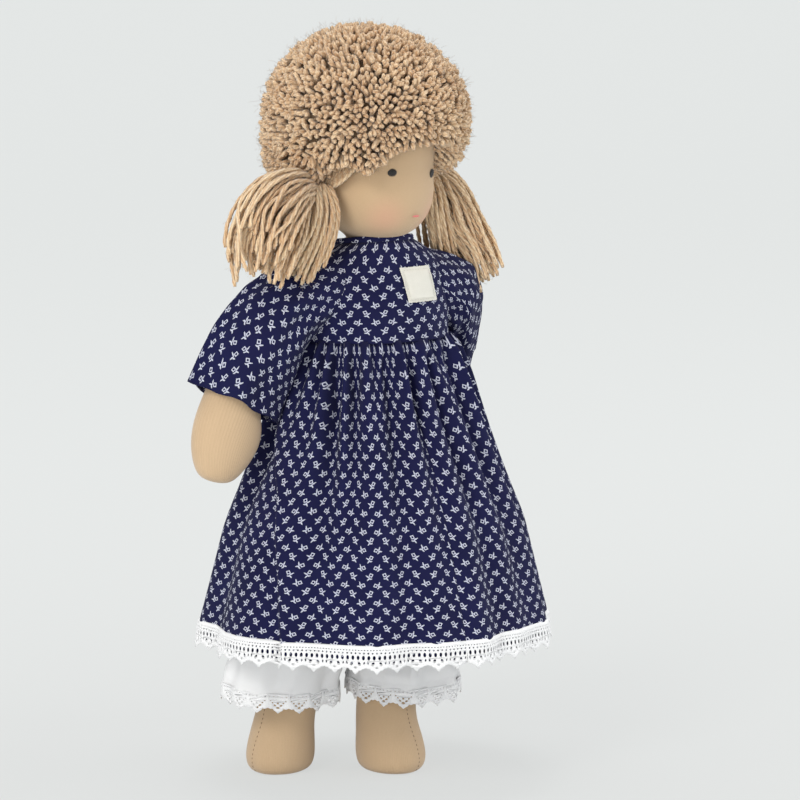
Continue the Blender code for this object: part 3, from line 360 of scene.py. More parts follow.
def applied(piece, kind, **settings):
    """Adds a modifier with these settings, and applies it."""
    deselected()
    bpy.context.view_layer.objects.active = piece
    piece.select_set(True)
    modifier = piece.modifiers.new(kind.lower(), kind)
    for key, value in settings.items():
        setattr(modifier, key, value)
    bpy.ops.object.modifier_apply(modifier=modifier.name)


def smoothed(piece, levels):
    applied(piece, "SUBSURF", levels=levels, render_levels=levels)
    piece.data.shade_smooth()


def soft_share(sides):
    """How much wider a cage of so many sides is than the smooth form inside it."""
    return 1 / cos(pi / sides)


def unrolled(piece, upright, radius):
    """Lays the cloth's own map over a piece, in metres: round its upright line, and along it."""
    mesh = piece.data
    layer = mesh.uv_layers.get("cloth") or mesh.uv_layers.new(name="cloth")
    into = upright.inverted()
    spots = [into @ vert.co for vert in mesh.vertices]
    for face in mesh.polygons:
        angles = [atan2(spots[i].x, -spots[i].y) for i in face.vertices]
        wraps = max(angles) - min(angles) > pi
        for loop, i, angle in zip(face.loop_indices, face.vertices, angles):
            if wraps and angle < 0:
                angle += 2 * pi
            layer.data[loop].uv = (angle * radius, spots[i].z)


jersey = jersey_named("skin_jersey", JERSEY_COLOUR)
grow = soft_share(8)
rings = []
for up_share, width_share, depth_share in TORSO_SHARES:
    z = HIP_HEIGHT + 0.0006 + up_share * (TORSO_LENGTH - 0.0006)
    half_width, half_depth = TORSO_HALF_WIDTH * width_share, TORSO_HALF_DEPTH * depth_share
    rings.append(flat_ring(BODY_X, 0, z, half_width * grow, half_depth * grow))
cage(8, rings)
close_ends(True, True)
body = named("body_skin", jersey)
smoothed(body, 3)
unrolled(body, Matrix.Translation((BODY_X, 0, 0)), TORSO_HALF_WIDTH)
fitted(body, "torso", "skin_jersey", "torso_skin")


# The head: a hard wool ball tied at eye height, in a jersey skin drawn tight and tied at the
# neck. Eyes and mouth are embroidered, and the cheeks are rubbed with red wax.
NECK = Vector((-0.003, 0.002, NECK_HEIGHT))
HEAD_CROWN = 0.103
HEAD_HALF_WIDTH, HEAD_HALF_DEPTH, HEAD_SET_BACK = 0.035, 0.0355, 0.005
NECK_RADIUS, NECK_RISE = 0.011, 0.0065
FACE_COLOUR = (0.57, 0.405, 0.245)
BLUSH_RED = (0.76, 0.30, 0.23)
EYE_ANGLE, EYE_RADIUS, EYE_STRANDS = 27.0, 0.0025, 9
EYE_RIGHT_SHARE, EYE_LEFT_SHARE = 0.476, 0.456
MOUTH_SHARE, MOUTH_HALF_WIDTH = 0.255, 0.0031
# Rows: height, half width, half depth, how far back the row's middle lies
HEAD_SHARES = (
    (0.107, 0.52, 0.53, 0.2),
    (0.155, 0.745, 0.79, 0.45),
    (0.243, 0.935, 0.965, 0.65),
    (0.36, 1.0, 1.0, 0.8),
    (0.476, 0.943, 0.92, 1.06),
    (0.68, 0.965, 0.985, 1.0),
    (0.855, 0.84, 0.85, 1.0),
    (0.945, 0.62, 0.61, 1.0),
    (0.99, 0.34, 0.34, 1.0),
)
head_turned = (
    Matrix.Rotation(radians(3.0), 4, "Y")
    @ Matrix.Rotation(radians(9.0), 4, "X")
    @ Matrix.Rotation(radians(16.0), 4, "Z")
)
head_place = Matrix.Translation((BODY_X, 0, 0)) @ Matrix.Translation(NECK) @ head_turned


def head_row(up_share):
    for low, high in zip(HEAD_SHARES, HEAD_SHARES[1:]):
        if up_share <= high[0]:
            part = (up_share - low[0]) / (high[0] - low[0])
            return [a + part * (b - a) for a, b in zip(low, high)]
    return HEAD_SHARES[-1]


def on_head(up_share, angle_from_front):
    """A place on the head's skin and the way that it faces, both turned with the head."""
    _, width_share, depth_share, back_share = head_row(up_share)
    angle = radians(angle_from_front)
    a, b = HEAD_HALF_WIDTH * width_share, HEAD_HALF_DEPTH * depth_share
    facing = Vector((sin(angle) / a, -cos(angle) / b, 0)).normalized()
    back = HEAD_SET_BACK * back_share - b * cos(angle)
    spot = Vector((a * sin(angle), back, HEAD_CROWN * up_share))
    return head_place @ spot, (head_place.to_3x3() @ facing).normalized()


cheeks = []
for side in (-1, 1):
    spot, _ = on_head(0.235, side * 31.0)
    cheeks.append((tuple(spot), 0.017, 0.26, BLUSH_RED))
face_jersey = jersey_named("face_jersey", FACE_COLOUR, cheeks)
grow = soft_share(8)
rings = []
for angle in (62, 32):
    r = NECK_RADIUS * cos(radians(angle)) * grow
    rings.append(head_place @ flat_ring(0, 0, -NECK_RADIUS * sin(radians(angle)), r, r))
for z in (0, NECK_RISE):
    rings.append(head_place @ flat_ring(0, 0, z, NECK_RADIUS * grow, NECK_RADIUS * grow))
for up_share, width_share, depth_share, back_share in HEAD_SHARES:
    a, b = HEAD_HALF_WIDTH * width_share * grow, HEAD_HALF_DEPTH * depth_share * grow
    rings.append(head_place @ flat_ring(0, HEAD_SET_BACK * back_share, HEAD_CROWN * up_share, a, b))
cage(8, rings)
close_ends(end=True)
head = named("head_skin_jersey", face_jersey)
smoothed(head, 4)
unrolled(head, head_place, HEAD_HALF_WIDTH)
fitted(head, "head", "skin_jersey", "head_skin")


def stitches_named(name, colour, pitch):
    """Satin stitch in a slightly shiny thread: fine threads lie side by side across the shape."""
    made, wire, shader = finish_named(name, colour, 0.55, 0.3)
    sockets = {"Vector": wire.place(), "Scale": 0.5 / pitch}
    waves = wire.node("TexWave", {"bands_direction": "DIAGONAL"}, sockets)
    light = tuple(min(1, 1.9 * c + 0.015) for c in colour)
    tinted(shader, waves * 0.8, colour, light)
    bumped(shader, waves, 0.6, 0.0002)
    return made


eye_thread = stitches_named("eye_thread", (0.012, 0.010, 0.009), 0.0005)
mouth_thread = stitches_named("mouth_thread", (0.58, 0.13, 0.11), 0.0005)
for side, name, up_share in ((-1, "right", EYE_RIGHT_SHARE), (1, "left", EYE_LEFT_SHARE)):
    spot, facing = on_head(up_share, side * EYE_ANGLE)
    frame_of_eye = facing.to_track_quat("Z", "Y").to_matrix().to_4x4()
    strands = []
    for i in range(EYE_STRANDS):
        share = (i - 4) / 4.6
        half = EYE_RADIUS * sqrt(1 - share * share)
        deselected()
        bpy.ops.mesh.primitive_uv_sphere_add(segments=10, ring_count=7, radius=1)
        strand = bpy.context.object
        rise = 0.00042 + 0.0005 * sqrt(1 - share * share)
        strand.data.transform(Matrix.Diagonal((0.00036, half, rise, 1)))
        strand.data.transform(Matrix.Translation((share * EYE_RADIUS, 0, 0.0001)))
        strands.append(strand)
    joined(strands)
    eye = named(f"eye_{name}_stitches", eye_thread)
    eye.data.transform(Matrix.Translation(spot) @ frame_of_eye)
    fitted(eye, "head", "eye_thread", f"eye_{name}")
strands = []
for row, half in ((-0.00018, 1.0), (0.00022, 0.72)):
    deselected()
    bpy.ops.mesh.primitive_uv_sphere_add(segments=12, ring_count=8, radius=1)
    strand = bpy.context.object
    strand.data.transform(Matrix.Diagonal((MOUTH_HALF_WIDTH * half, 0.00045, 0.00034, 1)))
    for vert in strand.data.vertices:
        spot, facing = on_head(MOUTH_SHARE, degrees(vert.co.x / HEAD_HALF_WIDTH))
        curl = 0.00028 * (vert.co.x / MOUTH_HALF_WIDTH) ** 2
        vert.co = spot + facing * (0.0001 - vert.co.y) + Vector((0, 0, vert.co.z + row + curl))
    strands.append(strand)
joined(strands)
mouth = named("mouth_stitches", mouth_thread)
fitted(mouth, "head", "mouth_thread", "mouth")


# The wig: thousands of short ends of plied wool yarn, knotted into a crocheted cap that is sewn to
# the head. They stand out from it all round, trimmed to a ball, and droop over the hairline.
YARN_COLOUR = (0.95, 0.65, 0.405)
YARN_RADIUS = 0.00165
YARN_PITCH = 0.0034
PLY_PITCH, PLY_TURN = 0.0066, 38.0
END_RINGS, STRAND_RINGS = 7, 36
HAIR_RADIUS, HAIR_HALF_HEIGHT = 0.0565, 0.0505
HAIR_MIDDLE = Vector((0, 0.0125, 0.070))
HAIRLINE_FRONT, HAIRLINE_BACK, HAIRLINE_REACH = 0.060, 0.024, 0.085
# The hairline: degrees round the head from its front, and height
HAIRLINE = (
    (-180, 0.022),
    (-130, 0.025),
    (-100, 0.031),
    (-90, 0.035),
    (-84, 0.042),
    (-78, 0.048),
    (-71, 0.0520),
    (-64, 0.0555),
    (-57, 0.0530),
    (-50, 0.0510),
    (-42, 0.0575),
    (-31, 0.0655),
    (-10, 0.0695),
    (15, 0.0685),
    (27, 0.0625),
    (38, 0.0555),
    (50, 0.049),
    (62, 0.045),
    (80, 0.042),
    (100, 0.039),
    (130, 0.030),
    (180, 0.022),
)
END_SPOTS = 3500
END_LENGTH = 0.0125
UNDER_SPOTS = 620
HAIR_SQUARE = 3.2
hairline = Vector((0, (HAIRLINE_FRONT - HAIRLINE_BACK) / HAIRLINE_REACH, 1)).normalized()
hairline_at = Vector((0, HEAD_SET_BACK, (HAIRLINE_FRONT + HAIRLINE_BACK) / 2))
chance = np.random.default_rng(7)


def yarn_named(name, colour, deep):
    """Plied wool: fine fibres wind along the strand, with painted shade where it starts, deep in,
    and in the ply grooves.
    """
    made, wire, shader = finish_named(name, colour, 0.95, 0.35)
    cloth = wire.cloth()
    shade = wire.node("Attribute", {"attribute_name": "shade"}, out=2)
    along = wire.node("Attribute", {"attribute_name": "along"}, out=2)
    stretch = wire.node("Mapping", None, {0: cloth, 3: (2200.0, 420.0, 1.0)})
    fibre = wire.noise(stretch, 1.0, 3.0)
    around = cloth.part(0) * (3 / YARN_RADIUS)
    onward = cloth.part(1) * (2 * pi / PLY_PITCH)
    ply = wire.maths("SINE", around + onward) * 0.5 + 0.5
    # Painted shade: the colour is darker in the grooves between the plies.
    groove_shade = wire.maths("POWER", 1 - ply, 2.0)
    blotch = wire.noise(wire.place(), 34.0, 2.0)
    light = tuple(min(1, c * f) for c, f in zip(colour, (1.14, 1.17, 1.22)))
    dark = tuple(c * f for c, f in zip(colour, (0.62, 0.54, 0.45)))
    share = shade * 0.45 + (fibre - 0.5) * 0.7 + (blotch - 0.5) * 0.5 - groove_shade * 0.55
    share = wire.maths("ADD", share, 0.42, clamp=True)
    tint = mixed(share, dark, light)
    # Painted shade: where the strand starts, deep in the pile, its colour is mixed towards near
    # black, easing off from deep to the tip.
    inward = wire.node("MapRange", None, {0: along, 1: deep, 2: 1.0, 3: 0.26, 4: 1.0})
    tint = mixed(inward, tuple(0.12 * c for c in dark), tint)
    feed(tint, shader, "Base Color")
    height = ply * 0.8 + fibre * 0.5
    bumped(shader, height, 0.9, 0.0005)
    return made


def strand_of(rings, blunt):
    """One straight strand of three plies, a ring for each unit of z, to be laid along paths."""
    places = []
    for i in range(rings):
        size = blunt if i in (0, rings - 1) else 1.0
        twist = Matrix.Rotation(radians(PLY_TURN) * i, 4, "Z")
        places.append(Matrix.Translation((0, 0, i)) @ twist @ Matrix.Diagonal((size, size, 1, 1)))
    strand = cage(6, places, 0.8)
    close_ends(True, True)
    unrolled(strand, Matrix(), 1.0)
    return strand


def laid(name, strand, paths, radius, finish, shades):
    """Copies of one strand in one mesh, each laid along its own path of one place a ring."""
    paths = np.asarray(paths, dtype=float)
    count, rings = paths.shape[:2]
    local = np.array([vert.co for vert in strand.data.vertices])
    ahead = np.gradient(paths, axis=1)
    ahead /= np.linalg.norm(ahead, axis=2, keepdims=True) + 1e-12
    side = np.cross(ahead[:, 0], chance.normal(size=(count, 3)))
    sides = np.empty_like(paths)
    for i in range(rings):
        side = side - ahead[:, i] * np.sum(side * ahead[:, i], axis=1, keepdims=True)
        side /= np.linalg.norm(side, axis=1, keepdims=True)
        sides[:, i] = side
    others = np.cross(ahead, sides)
    ring = np.rint(local[:, 2]).astype(int)
    thick = np.broadcast_to(np.reshape(radius, (-1, 1, 1)), (count, 1, 1))
    points = paths[:, ring] + thick * (
        sides[:, ring] * local[:, 0, None] + others[:, ring] * local[:, 1, None]
    )
    size = len(local)
    unit = [tuple(face.vertices) for face in strand.data.polygons]
    faces = [tuple(i + size * n for i in face) for n in range(count) for face in unit]
    mesh = bpy.data.meshes.new(name)
    mesh.from_pydata(points.reshape(-1, 3), [], faces)
    flat = np.empty(2 * len(strand.data.loops))
    strand.data.uv_layers["cloth"].data.foreach_get("uv", flat)
    flat = flat.reshape(-1, 2) * (YARN_RADIUS, YARN_PITCH / 2)
    moved = flat[None] + chance.uniform(0, 3, (count, 1, 2))
    mesh.uv_layers.new(name="cloth").data.foreach_set("uv", moved.ravel())
    kept = mesh.attributes.new("shade", "FLOAT", "POINT")
    kept.data.foreach_set("value", np.repeat(shades, size))
    kept = mesh.attributes.new("along", "FLOAT", "POINT")
    kept.data.foreach_set("value", np.tile(local[:, 2] / (rings - 1), count))
    placed(mesh)
    return named(name, finish)


def stitched(name, paths, radius, finish, shade, body):
    """Short stitches of sewing thread, each laid along its own path."""
    stitch = strand_of(5, 0.6)
    seam = laid(name, stitch, paths, radius, finish, np.full(len(paths), shade))
    bpy.data.objects.remove(stitch)
    fitted(seam, body, "thread")


def above_hairline(spot):
    """How high a place lies over the hairline."""
    angle = degrees(atan2(spot.x, HEAD_SET_BACK - spot.y))
    low = np.interp(angle, [row[0] for row in HAIRLINE], [row[1] for row in HAIRLINE])
    return spot.z - float(low)


def held(share):
    """A share kept between 0 and 1."""
    return min(1.0, max(0.0, share))


def ball_power(x, y):
    """How square the ball's lower half is towards a side: round only at the front's left."""
    return HAIR_SQUARE - (HAIR_SQUARE - 2) * held((0.68 * x - 0.74 * y - 0.4) / 0.3)


wig_yarn = yarn_named("wig_yarn", YARN_COLOUR, 0.28)
short_strand = strand_of(END_RINGS, 0.62)
starts, ways, lengths = [], [], []
golden = pi * (3 - sqrt(5))
for i in range(END_SPOTS):
    height = 1 - 2 * (i + 0.5) / END_SPOTS
    power = ball_power(cos(golden * i), sin(golden * i)) if height < 0 else 2.0
    level = (1 - abs(height) ** power) ** (1 / power)
    spot = Vector((HAIR_RADIUS * level * cos(golden * i), HAIR_RADIUS * level * sin(golden * i), 0))
    spot.z = HAIR_HALF_HEIGHT * height
    out = Vector((cos(golden * i), sin(golden * i), 0)) * level ** (power - 1)
    out.z = abs(height) ** (power - 1) * (1 if height > 0 else -1) * HAIR_RADIUS / HAIR_HALF_HEIGHT
    out.normalize()
    spot = HAIR_MIDDLE + spot
    rise = above_hairline(spot)
    if rise < 0.0005:
        continue
    droop = max(0, 1 - rise / 0.016)
    way = out + Vector(chance.normal(0, 0.28, 3)) - hairline * (0.75 * droop)
    way.normalize()
    length = END_LENGTH * chance.uniform(0.9, 1.15)
    tip = spot - out * chance.uniform(0.0, 0.0030)
    starts.append(tip - way * length)
    ways.append(way)
    lengths.append(length)
for i in range(UNDER_SPOTS):
    reach = HAIR_RADIUS * sqrt(0.36 + 0.58 * (i + 0.5) / UNDER_SPOTS)
    around = Vector((cos(golden * i), sin(golden * i), 0))
    spot = HAIR_MIDDLE + around * reach
    spot.z -= above_hairline(spot)
    level = reach / HAIR_RADIUS
    power = ball_power(around.x, around.y)
    if level**power + abs((spot.z - HAIR_MIDDLE.z) / HAIR_HALF_HEIGHT) ** power > 0.9:
        continue
    way = (around * 0.75 - hairline + Vector(chance.normal(0, 0.25, 3))).normalized()
    length = 0.8 * END_LENGTH
    starts.append(spot - way * (length * 0.72))
    ways.append(way)
    lengths.append(length)
starts, ways, lengths = np.array(starts), np.array(ways), np.array(lengths)
shares = np.linspace(0, 1, END_RINGS)
bend = np.cross(ways, chance.normal(size=ways.shape))
bend *= chance.uniform(0, 0.0028, (len(ways), 1)) / np.linalg.norm(bend, axis=1, keepdims=True)
paths = starts[:, None] + (ways * lengths[:, None])[:, None] * shares[:, None]
paths += bend[:, None] * (shares**2 - 0.5 * shares)[:, None]
turned = np.array(head_place)


def in_head(paths):
    """Paths given in the head's own frame, turned and moved with it."""
    return np.asarray(paths) @ turned[:3, :3].T + turned[:3, 3]


paths = in_head(paths)
shades = chance.uniform(0, 1, len(paths))
thick = YARN_RADIUS * chance.uniform(0.9, 1.1, len(paths))
hair_paths = paths
for half, name in ((starts[:, 0] < 0, "right"), (starts[:, 0] >= 0, "left")):
    ends = laid(f"hair_ends_{name}", short_strand, paths[half], thick[half], wig_yarn, shades[half])
    fitted(ends, "head", "wig_yarn", "hair_pile", "wig_cap")

# Loose fibres that stand off the cut yarn and soften its outline
FUZZ, FUZZ_RADIUS = 9000, 0.000045
hair_strand = cage(3, [Matrix.Translation((0, 0, i)) for i in range(4)])
close_ends(True, True)
unrolled(hair_strand, Matrix(), 1.0)


def fuzz_round(name, roots, count, length, finish, body):
    """Fine fibres that curl away from places picked along the strands."""
    roots = np.asarray(roots).reshape(-1, 3)
    picked = roots[chance.integers(0, len(roots), count)] + chance.normal(0, 0.0008, (count, 3))
    way = chance.normal(size=(count, 3))
    way += (picked - roots.mean(axis=0)) / 0.03
    way /= np.linalg.norm(way, axis=1, keepdims=True)
    curl = chance.normal(0, 0.35, (count, 3))
    share = np.linspace(0, 1, 4)[None, :, None]
    lines = picked[:, None] + (way[:, None] * share + curl[:, None] * share**2) * (
        length * chance.uniform(0.5, 1.3, (count, 1, 1))
    )
    fuzz = laid(name, hair_strand, lines, FUZZ_RADIUS, finish, chance.uniform(0.3, 1, count))
    fitted(fuzz, body, "wig_yarn")


fuzz_round("hair_fuzz", hair_paths[:, -3:], FUZZ, 0.0026, wig_yarn, "head")

# Painted shade: the crown under the yarn ends is a dark brown sheet that stands for the shade deep
# between them, with the crochet's knots in it.
painted_shade_cap, wire, shader = finish_named("wig_cap_painted_shade", (0.11, 0.07, 0.04), 1.0)
knots = wire.node("TexVoronoi", None, {"Vector": wire.place(), "Scale": 300.0})
tinted(shader, knots * 1.2, (0.05, 0.03, 0.018), (0.20, 0.135, 0.08))
bumped(shader, knots, 0.6, 0.0008)
deselected()
bpy.ops.mesh.primitive_ico_sphere_add(subdivisions=5, radius=1)
crown = bpy.context.object
for vert in crown.data.vertices:
    height = min(0.999, abs(vert.co.z))
    if vert.co.z < 0:
        power = ball_power(*vert.co.normalized().xy)
        grow = (1 - height**power) ** (1 / power) / sqrt(1 - height**2)
        vert.co.x, vert.co.y = vert.co.x * grow, vert.co.y * grow
CROWN_INSET, CROWN_LIFT = 0.0075, 0.008
reach = HAIR_RADIUS - CROWN_INSET
inward = Matrix.Diagonal((reach, reach, HAIR_HALF_HEIGHT - CROWN_INSET, 1))
crown.data.transform(Matrix.Translation(HAIR_MIDDLE) @ inward)
all_selected()
bpy.ops.mesh.bisect(
    plane_co=hairline_at - hairline * 0.004, plane_no=hairline, use_fill=True, clear_inner=True
)
bpy.ops.object.mode_set(mode="OBJECT")
for vert in crown.data.vertices:
    vert.co.z += max(0.0, CROWN_LIFT - above_hairline(vert.co))
crown.data.transform(head_place)
crown = named("wig_crown", painted_shade_cap)
fitted(crown, "head", "wig_yarn", "wig_cap")


# The pigtails: a bundle of long strands leaves the cap above each ear as a flat band, is wound
# tight with one strand at the tie, and falls as a loose bunch of loops and blunt ends.
TIE_REACH, TIE_FORWARD, TIE_RISE, TIE_RADIUS = 0.0405, -0.002, 0.0345, 0.0012
BUNDLE_RADIUS = 0.0040
BAND_STRANDS = 9
BAND_RISE, BAND_HALF = 0.0175, 0.0078
TAIL_STRANDS, TAIL_YARN_RADIUS = 104, 0.00128
PIGTAIL_LENGTH, PIGTAIL_RADIUS = 0.066, 0.0235
# Rows, in shares of the pigtail's length and radius: out, back, up, half width, half depth
PIGTAIL_RIGHT_SHARES = (
    (0.20, -0.06, 0.02, 0.52, 0.44),
    (0.39, -0.13, -0.06, 0.86, 0.66),
    (0.56, -0.20, -0.22, 1.02, 0.78),
    (0.67, -0.25, -0.42, 0.98, 0.76),
    (0.72, -0.29, -0.60, 0.80, 0.62),
)
PIGTAIL_LEFT_SHARES = (
    (0.13, 0.03, 0.01, 0.42, 0.44),
    (0.23, 0.02, -0.13, 0.56, 0.58),
    (0.32, -0.01, -0.36, 0.63, 0.64),
    (0.44, -0.04, -0.58, 0.63, 0.62),
    (0.55, -0.07, -0.80, 0.56, 0.52),
)
# Strands that hang from the tie straight down past the cheek: inward, forward, up, in metres
HANGING_STRANDS, HANGING_FAN = 64, 0.0215
HANGING = (
    (0, 0, 0),
    (0.0030, 0.0060, 0.0030),
    (0.0055, 0.0105, -0.0090),
    (0.0055, 0.0095, -0.0240),
    (0.0010, 0.0060, -0.0430),
)


def run_of(line):
    """How far along a line each of its points lies."""
    return np.concatenate([[0], np.cumsum(np.linalg.norm(np.diff(line, axis=0), axis=1))])


def resampled(points, count):
    """As many places as asked, evenly spread along a smooth line through the given ones."""
    points = np.asarray(points, dtype=float)
    at = np.linspace(0, len(points) - 1, 12 * count)
    low = np.clip(np.floor(at).astype(int), 0, len(points) - 2)
    part = (at - low)[:, None]
    before = points[np.maximum(low - 1, 0)]
    start, end = points[low], points[low + 1]
    after = points[np.minimum(low + 2, len(points) - 1)]
    line = 0.5 * (
        2 * start
        + (end - before) * part
        + (2 * before - 5 * start + 4 * end - after) * part**2
        + (3 * start - before - 3 * end + after) * part**3
    )
    run = run_of(line)
    even = np.linspace(0, run[-1], count)
    return np.stack([np.interp(even, run, line[:, k]) for k in range(3)], axis=1)


long_strand = strand_of(STRAND_RINGS, 0.7)
# Painted light: the pigtails' yarn is the wig's yarn made 4 % lighter, and its painted shade where
# each strand starts is milder.
tail_yarn = yarn_named("pigtail_yarn", tuple(1.04 * c for c in YARN_COLOUR), -1.6)
for side, name, rows in ((-1, "right", PIGTAIL_RIGHT_SHARES), (1, "left", PIGTAIL_LEFT_SHARES)):
    tie = Vector((side * TIE_REACH, HEAD_SET_BACK + TIE_FORWARD, TIE_RISE))
    paths = []
    for i in range(BAND_STRANDS):
        share = 2 * i / (BAND_STRANDS - 1) - 1
        spread = BAND_HALF * share
        points = [
            (side * 0.0350, tie.y - 0.0160 + spread, tie.z + 0.0265 - 0.25 * spread),
            (
                side * (0.0352 + 0.09 * spread),
                tie.y - 0.0125 + spread,
                tie.z + BAND_RISE - 0.25 * spread,
            ),
            (side * 0.0368, tie.y - 0.0065 + 0.75 * spread, tie.z + 0.0085),
            (side * 0.0382, tie.y - 0.0020 + 0.40 * spread, tie.z + 0.0028),
            (side * 0.0402, tie.y + 0.22 * spread, tie.z + 0.0006),
        ]
        paths.append(resampled(points, STRAND_RINGS))
    paths = in_head(paths)
    shades = chance.uniform(0.2, 1, len(paths))
    band = laid(f"band_strands_{name}", long_strand, paths, YARN_RADIUS * 0.92, tail_yarn, shades)
    fitted(band, "head", "wig_yarn", f"strand_band_{name}")

    around = BUNDLE_RADIUS + TIE_RADIUS
    turns = np.linspace(0, 2 * pi * 2.6, STRAND_RINGS)
    winding = [
        tie + Vector((side * (0.0022 * t / 16.0 - 0.0012), around * cos(t), around * sin(t)))
        for t in turns
    ]
    paths = in_head([resampled(winding, STRAND_RINGS)])
    shades = np.array([0.8])
    wound = laid(f"tie_strand_{name}", long_strand, paths, TIE_RADIUS * 1.1, tail_yarn, shades)
    fitted(wound, "head", "wig_yarn", f"pigtail_tie_{name}")

    out = (head_turned.to_3x3() @ Vector((side, 0, 0))).normalized()
    hinge = head_place @ tie
    middles = [hinge - out * 0.0008, hinge + out * 0.003]
    middles += [hinge + Vector((side * x, y, z)) * PIGTAIL_LENGTH for x, y, z, _, _ in rows]
    halves = [(share * BUNDLE_RADIUS, share * BUNDLE_RADIUS) for share in (0.8, 0.9)]
    halves += [(w * PIGTAIL_RADIUS, d * PIGTAIL_RADIUS) for *_, w, d in rows]
    paths = []
    for i in range(TAIL_STRANDS):
        angle = golden * i + chance.normal(0, 0.12)
        reach = sqrt((i + 0.5) / TAIL_STRANDS) * 0.93
        points = []
        for k, (middle, (half_width, half_depth)) in enumerate(zip(middles, halves)):
            ahead = middles[min(k + 1, len(middles) - 1)] - middles[max(k - 1, 0)]
            ahead = out if k < 2 else ahead.normalized()
            across = Vector((0, 1, 0)).cross(ahead).normalized()
            forward = ahead.cross(across)
            drift = angle + 0.030 * k * chance.normal(0, 1.0)
            lean = reach * held(1 + chance.normal(0, 0.03))
            spot = middle + across * (half_width * lean * cos(drift))
            points.append(spot + forward * (half_depth * lean * sin(drift)))
        last = points[-1] - points[-2]
        fall = Vector((0, 0, -1)) * last.length
        stretch = chance.uniform(-0.25, 0.55)
        points[-1] = points[-1] + (last * 0.4 + fall * 0.6) * stretch
        kept = round(STRAND_RINGS * chance.uniform(0.72, 1.0))
        paths.append(resampled(resampled(points, STRAND_RINGS)[:kept], STRAND_RINGS))
    for i in range(HANGING_STRANDS):
        off = Vector((chance.normal(0, 0.0024), chance.uniform(-0.0035, 0.0095), 0))
        fall = chance.uniform(0.8, 1.12)
        fan = chance.uniform(0.2, 1)
        line = []
        for k, (x, y, z) in enumerate(HANGING):
            sway = off * min(1.0, 0.15 + 0.4 * k) + Vector(chance.normal(0, 0.0004, 3))
            off_cheek = HANGING_FAN * fan * (k / 4) ** 0.7
            line.append(hinge + Vector((side * (off_cheek - x), -y, z * fall)) + sway)
        paths.append(resampled(line, STRAND_RINGS))
    shades = chance.uniform(0, 1, len(paths))
    tail = laid(f"pigtail_strands_{name}", long_strand, paths, TAIL_YARN_RADIUS, tail_yarn, shades)
    fitted(tail, f"pigtail_{name}", "wig_yarn", f"pigtail_{name}")
    fuzz_round(f"pigtail_fuzz_{name}", paths, FUZZ // 4, 0.003, tail_yarn, f"pigtail_{name}")
for strand in (short_strand, long_strand, hair_strand):
    bpy.data.objects.remove(strand)


# The arms: jersey tubes stuffed with wool, sewn flat to the shoulders, with the hands as plain
# mittens drawn in a little at the wrist. The left arm is closer in and hangs further back.
SHOULDER_HALF_WIDTH, SHOULDER_HEIGHT = 0.0388, 0.264
ARM_LENGTH, ARM_HALF_WIDTH, ARM_HALF_DEPTH = 0.125, 0.0152, 0.0148
ARM_TOP_RISE, ARM_BEND_SHARE = 0.002, 0.25
LEFT_SWING, LEFT_SLIM = -33.0, 0.84
# Rows: length along the arm, lean off the vertical in degrees, half width, half depth, and how
# far the row bulges towards the body
ARM_SHARES = (
    (0.0, 80, 0.60, 0.62, 0.0),
    (0.07, 68, 0.90, 0.90, 0.0),
    (0.18, 46, 1.0, 1.0, 0.0),
    (0.38, 34, 1.0, 0.98, 0.0),
    (0.60, 24, 0.94, 0.90, 0.04),
    (0.73, 11, 1.34, 0.92, 0.17),
    (0.84, 8, 1.36, 0.94, 0.16),
    (0.95, 14, 0.92, 0.72, 0.02),
    (1.0, 16, 0.48, 0.42, -0.02),
)
for side, name, lean_share, seat, swing in (
    (-1, "right", 1.0, 0.0014, 0.0),
    (1, "left", 0.18, 0.0, LEFT_SWING),
):
    shoulder = Matrix.Translation((BODY_X + side * SHOULDER_HALF_WIDTH, 0, SHOULDER_HEIGHT))
    hang = shoulder @ Matrix.Rotation(radians(-swing), 4, "X")
    spot, last, rings = Vector((-seat, 0, ARM_TOP_RISE)), None, []
    for along_share, lean, width_share, depth_share, bulge in ARM_SHARES:
        angle = radians(lean * (1 - (1 - lean_share) * min(1, along_share / ARM_BEND_SHARE)))
        heading = Vector((sin(angle), 0, -cos(angle)))
        if last:
            spot = spot + (heading + last[1]).normalized() * ((along_share - last[0]) * ARM_LENGTH)
        last = (along_share, heading)
        slim = LEFT_SLIM if side > 0 and 0.1 < along_share < 0.65 else 1.0
        a = ARM_HALF_WIDTH * width_share * slim * soft_share(6)
        b = ARM_HALF_DEPTH * depth_share * soft_share(6)
        down = Vector((side * heading.x, 0, heading.z))
        across = Vector((side * heading.z, 0, -heading.x))
        ring = Matrix((across * a, Vector((0, side * b, 0)), down)).transposed().to_4x4()
        inward = across * (bulge * ARM_HALF_WIDTH)
        rings.append(hang @ Matrix.Translation(Vector((side * spot.x, 0, spot.z)) + inward) @ ring)
    cage(6, rings)
    close_ends(False, True)
    arm = named(f"arm_{name}_jersey", jersey)
    smoothed(arm, 3)
    lean = Matrix.Rotation(radians(side * -24.0 * (0.5 + 0.5 * lean_share)), 4, "Y")
    unrolled(arm, hang @ lean, ARM_HALF_WIDTH)
    hidden = (f"arm_skin_{name}", "arm_stuffing_left")[: 2 if side > 0 else 1]
    fitted(arm, f"arm_{name}", "skin_jersey", *hidden)


# The legs: jersey tubes stuffed hard, pressed flat at the hip seam so that they swing there. A
# stitched seam runs down over each foot, and the soles are flattened so that the doll stands.
LEG_X, LEG_HALF_WIDTH, LEG_HALF_DEPTH = 0.021, 0.018, 0.0165
LEG_TOP_DROP, ANKLE_HEIGHT = 0.003, 0.034
FOOT_HALF_LENGTH, FOOT_HALF_WIDTH, FOOT_FORWARD = 0.0232, 0.0187, 0.0070
FLAT_DEPTH = 0.0008
# Rows: drop from hip to ankle, half width, half depth
LEG_SHARES = (
    (0.0, 0.80, 0.10),
    (0.03, 0.92, 0.27),
    (0.13, 1.0, 0.72),
    (0.27, 1.0, 0.98),
    (0.55, 0.96, 1.0),
    (1.0, 0.88, 1.0),
)
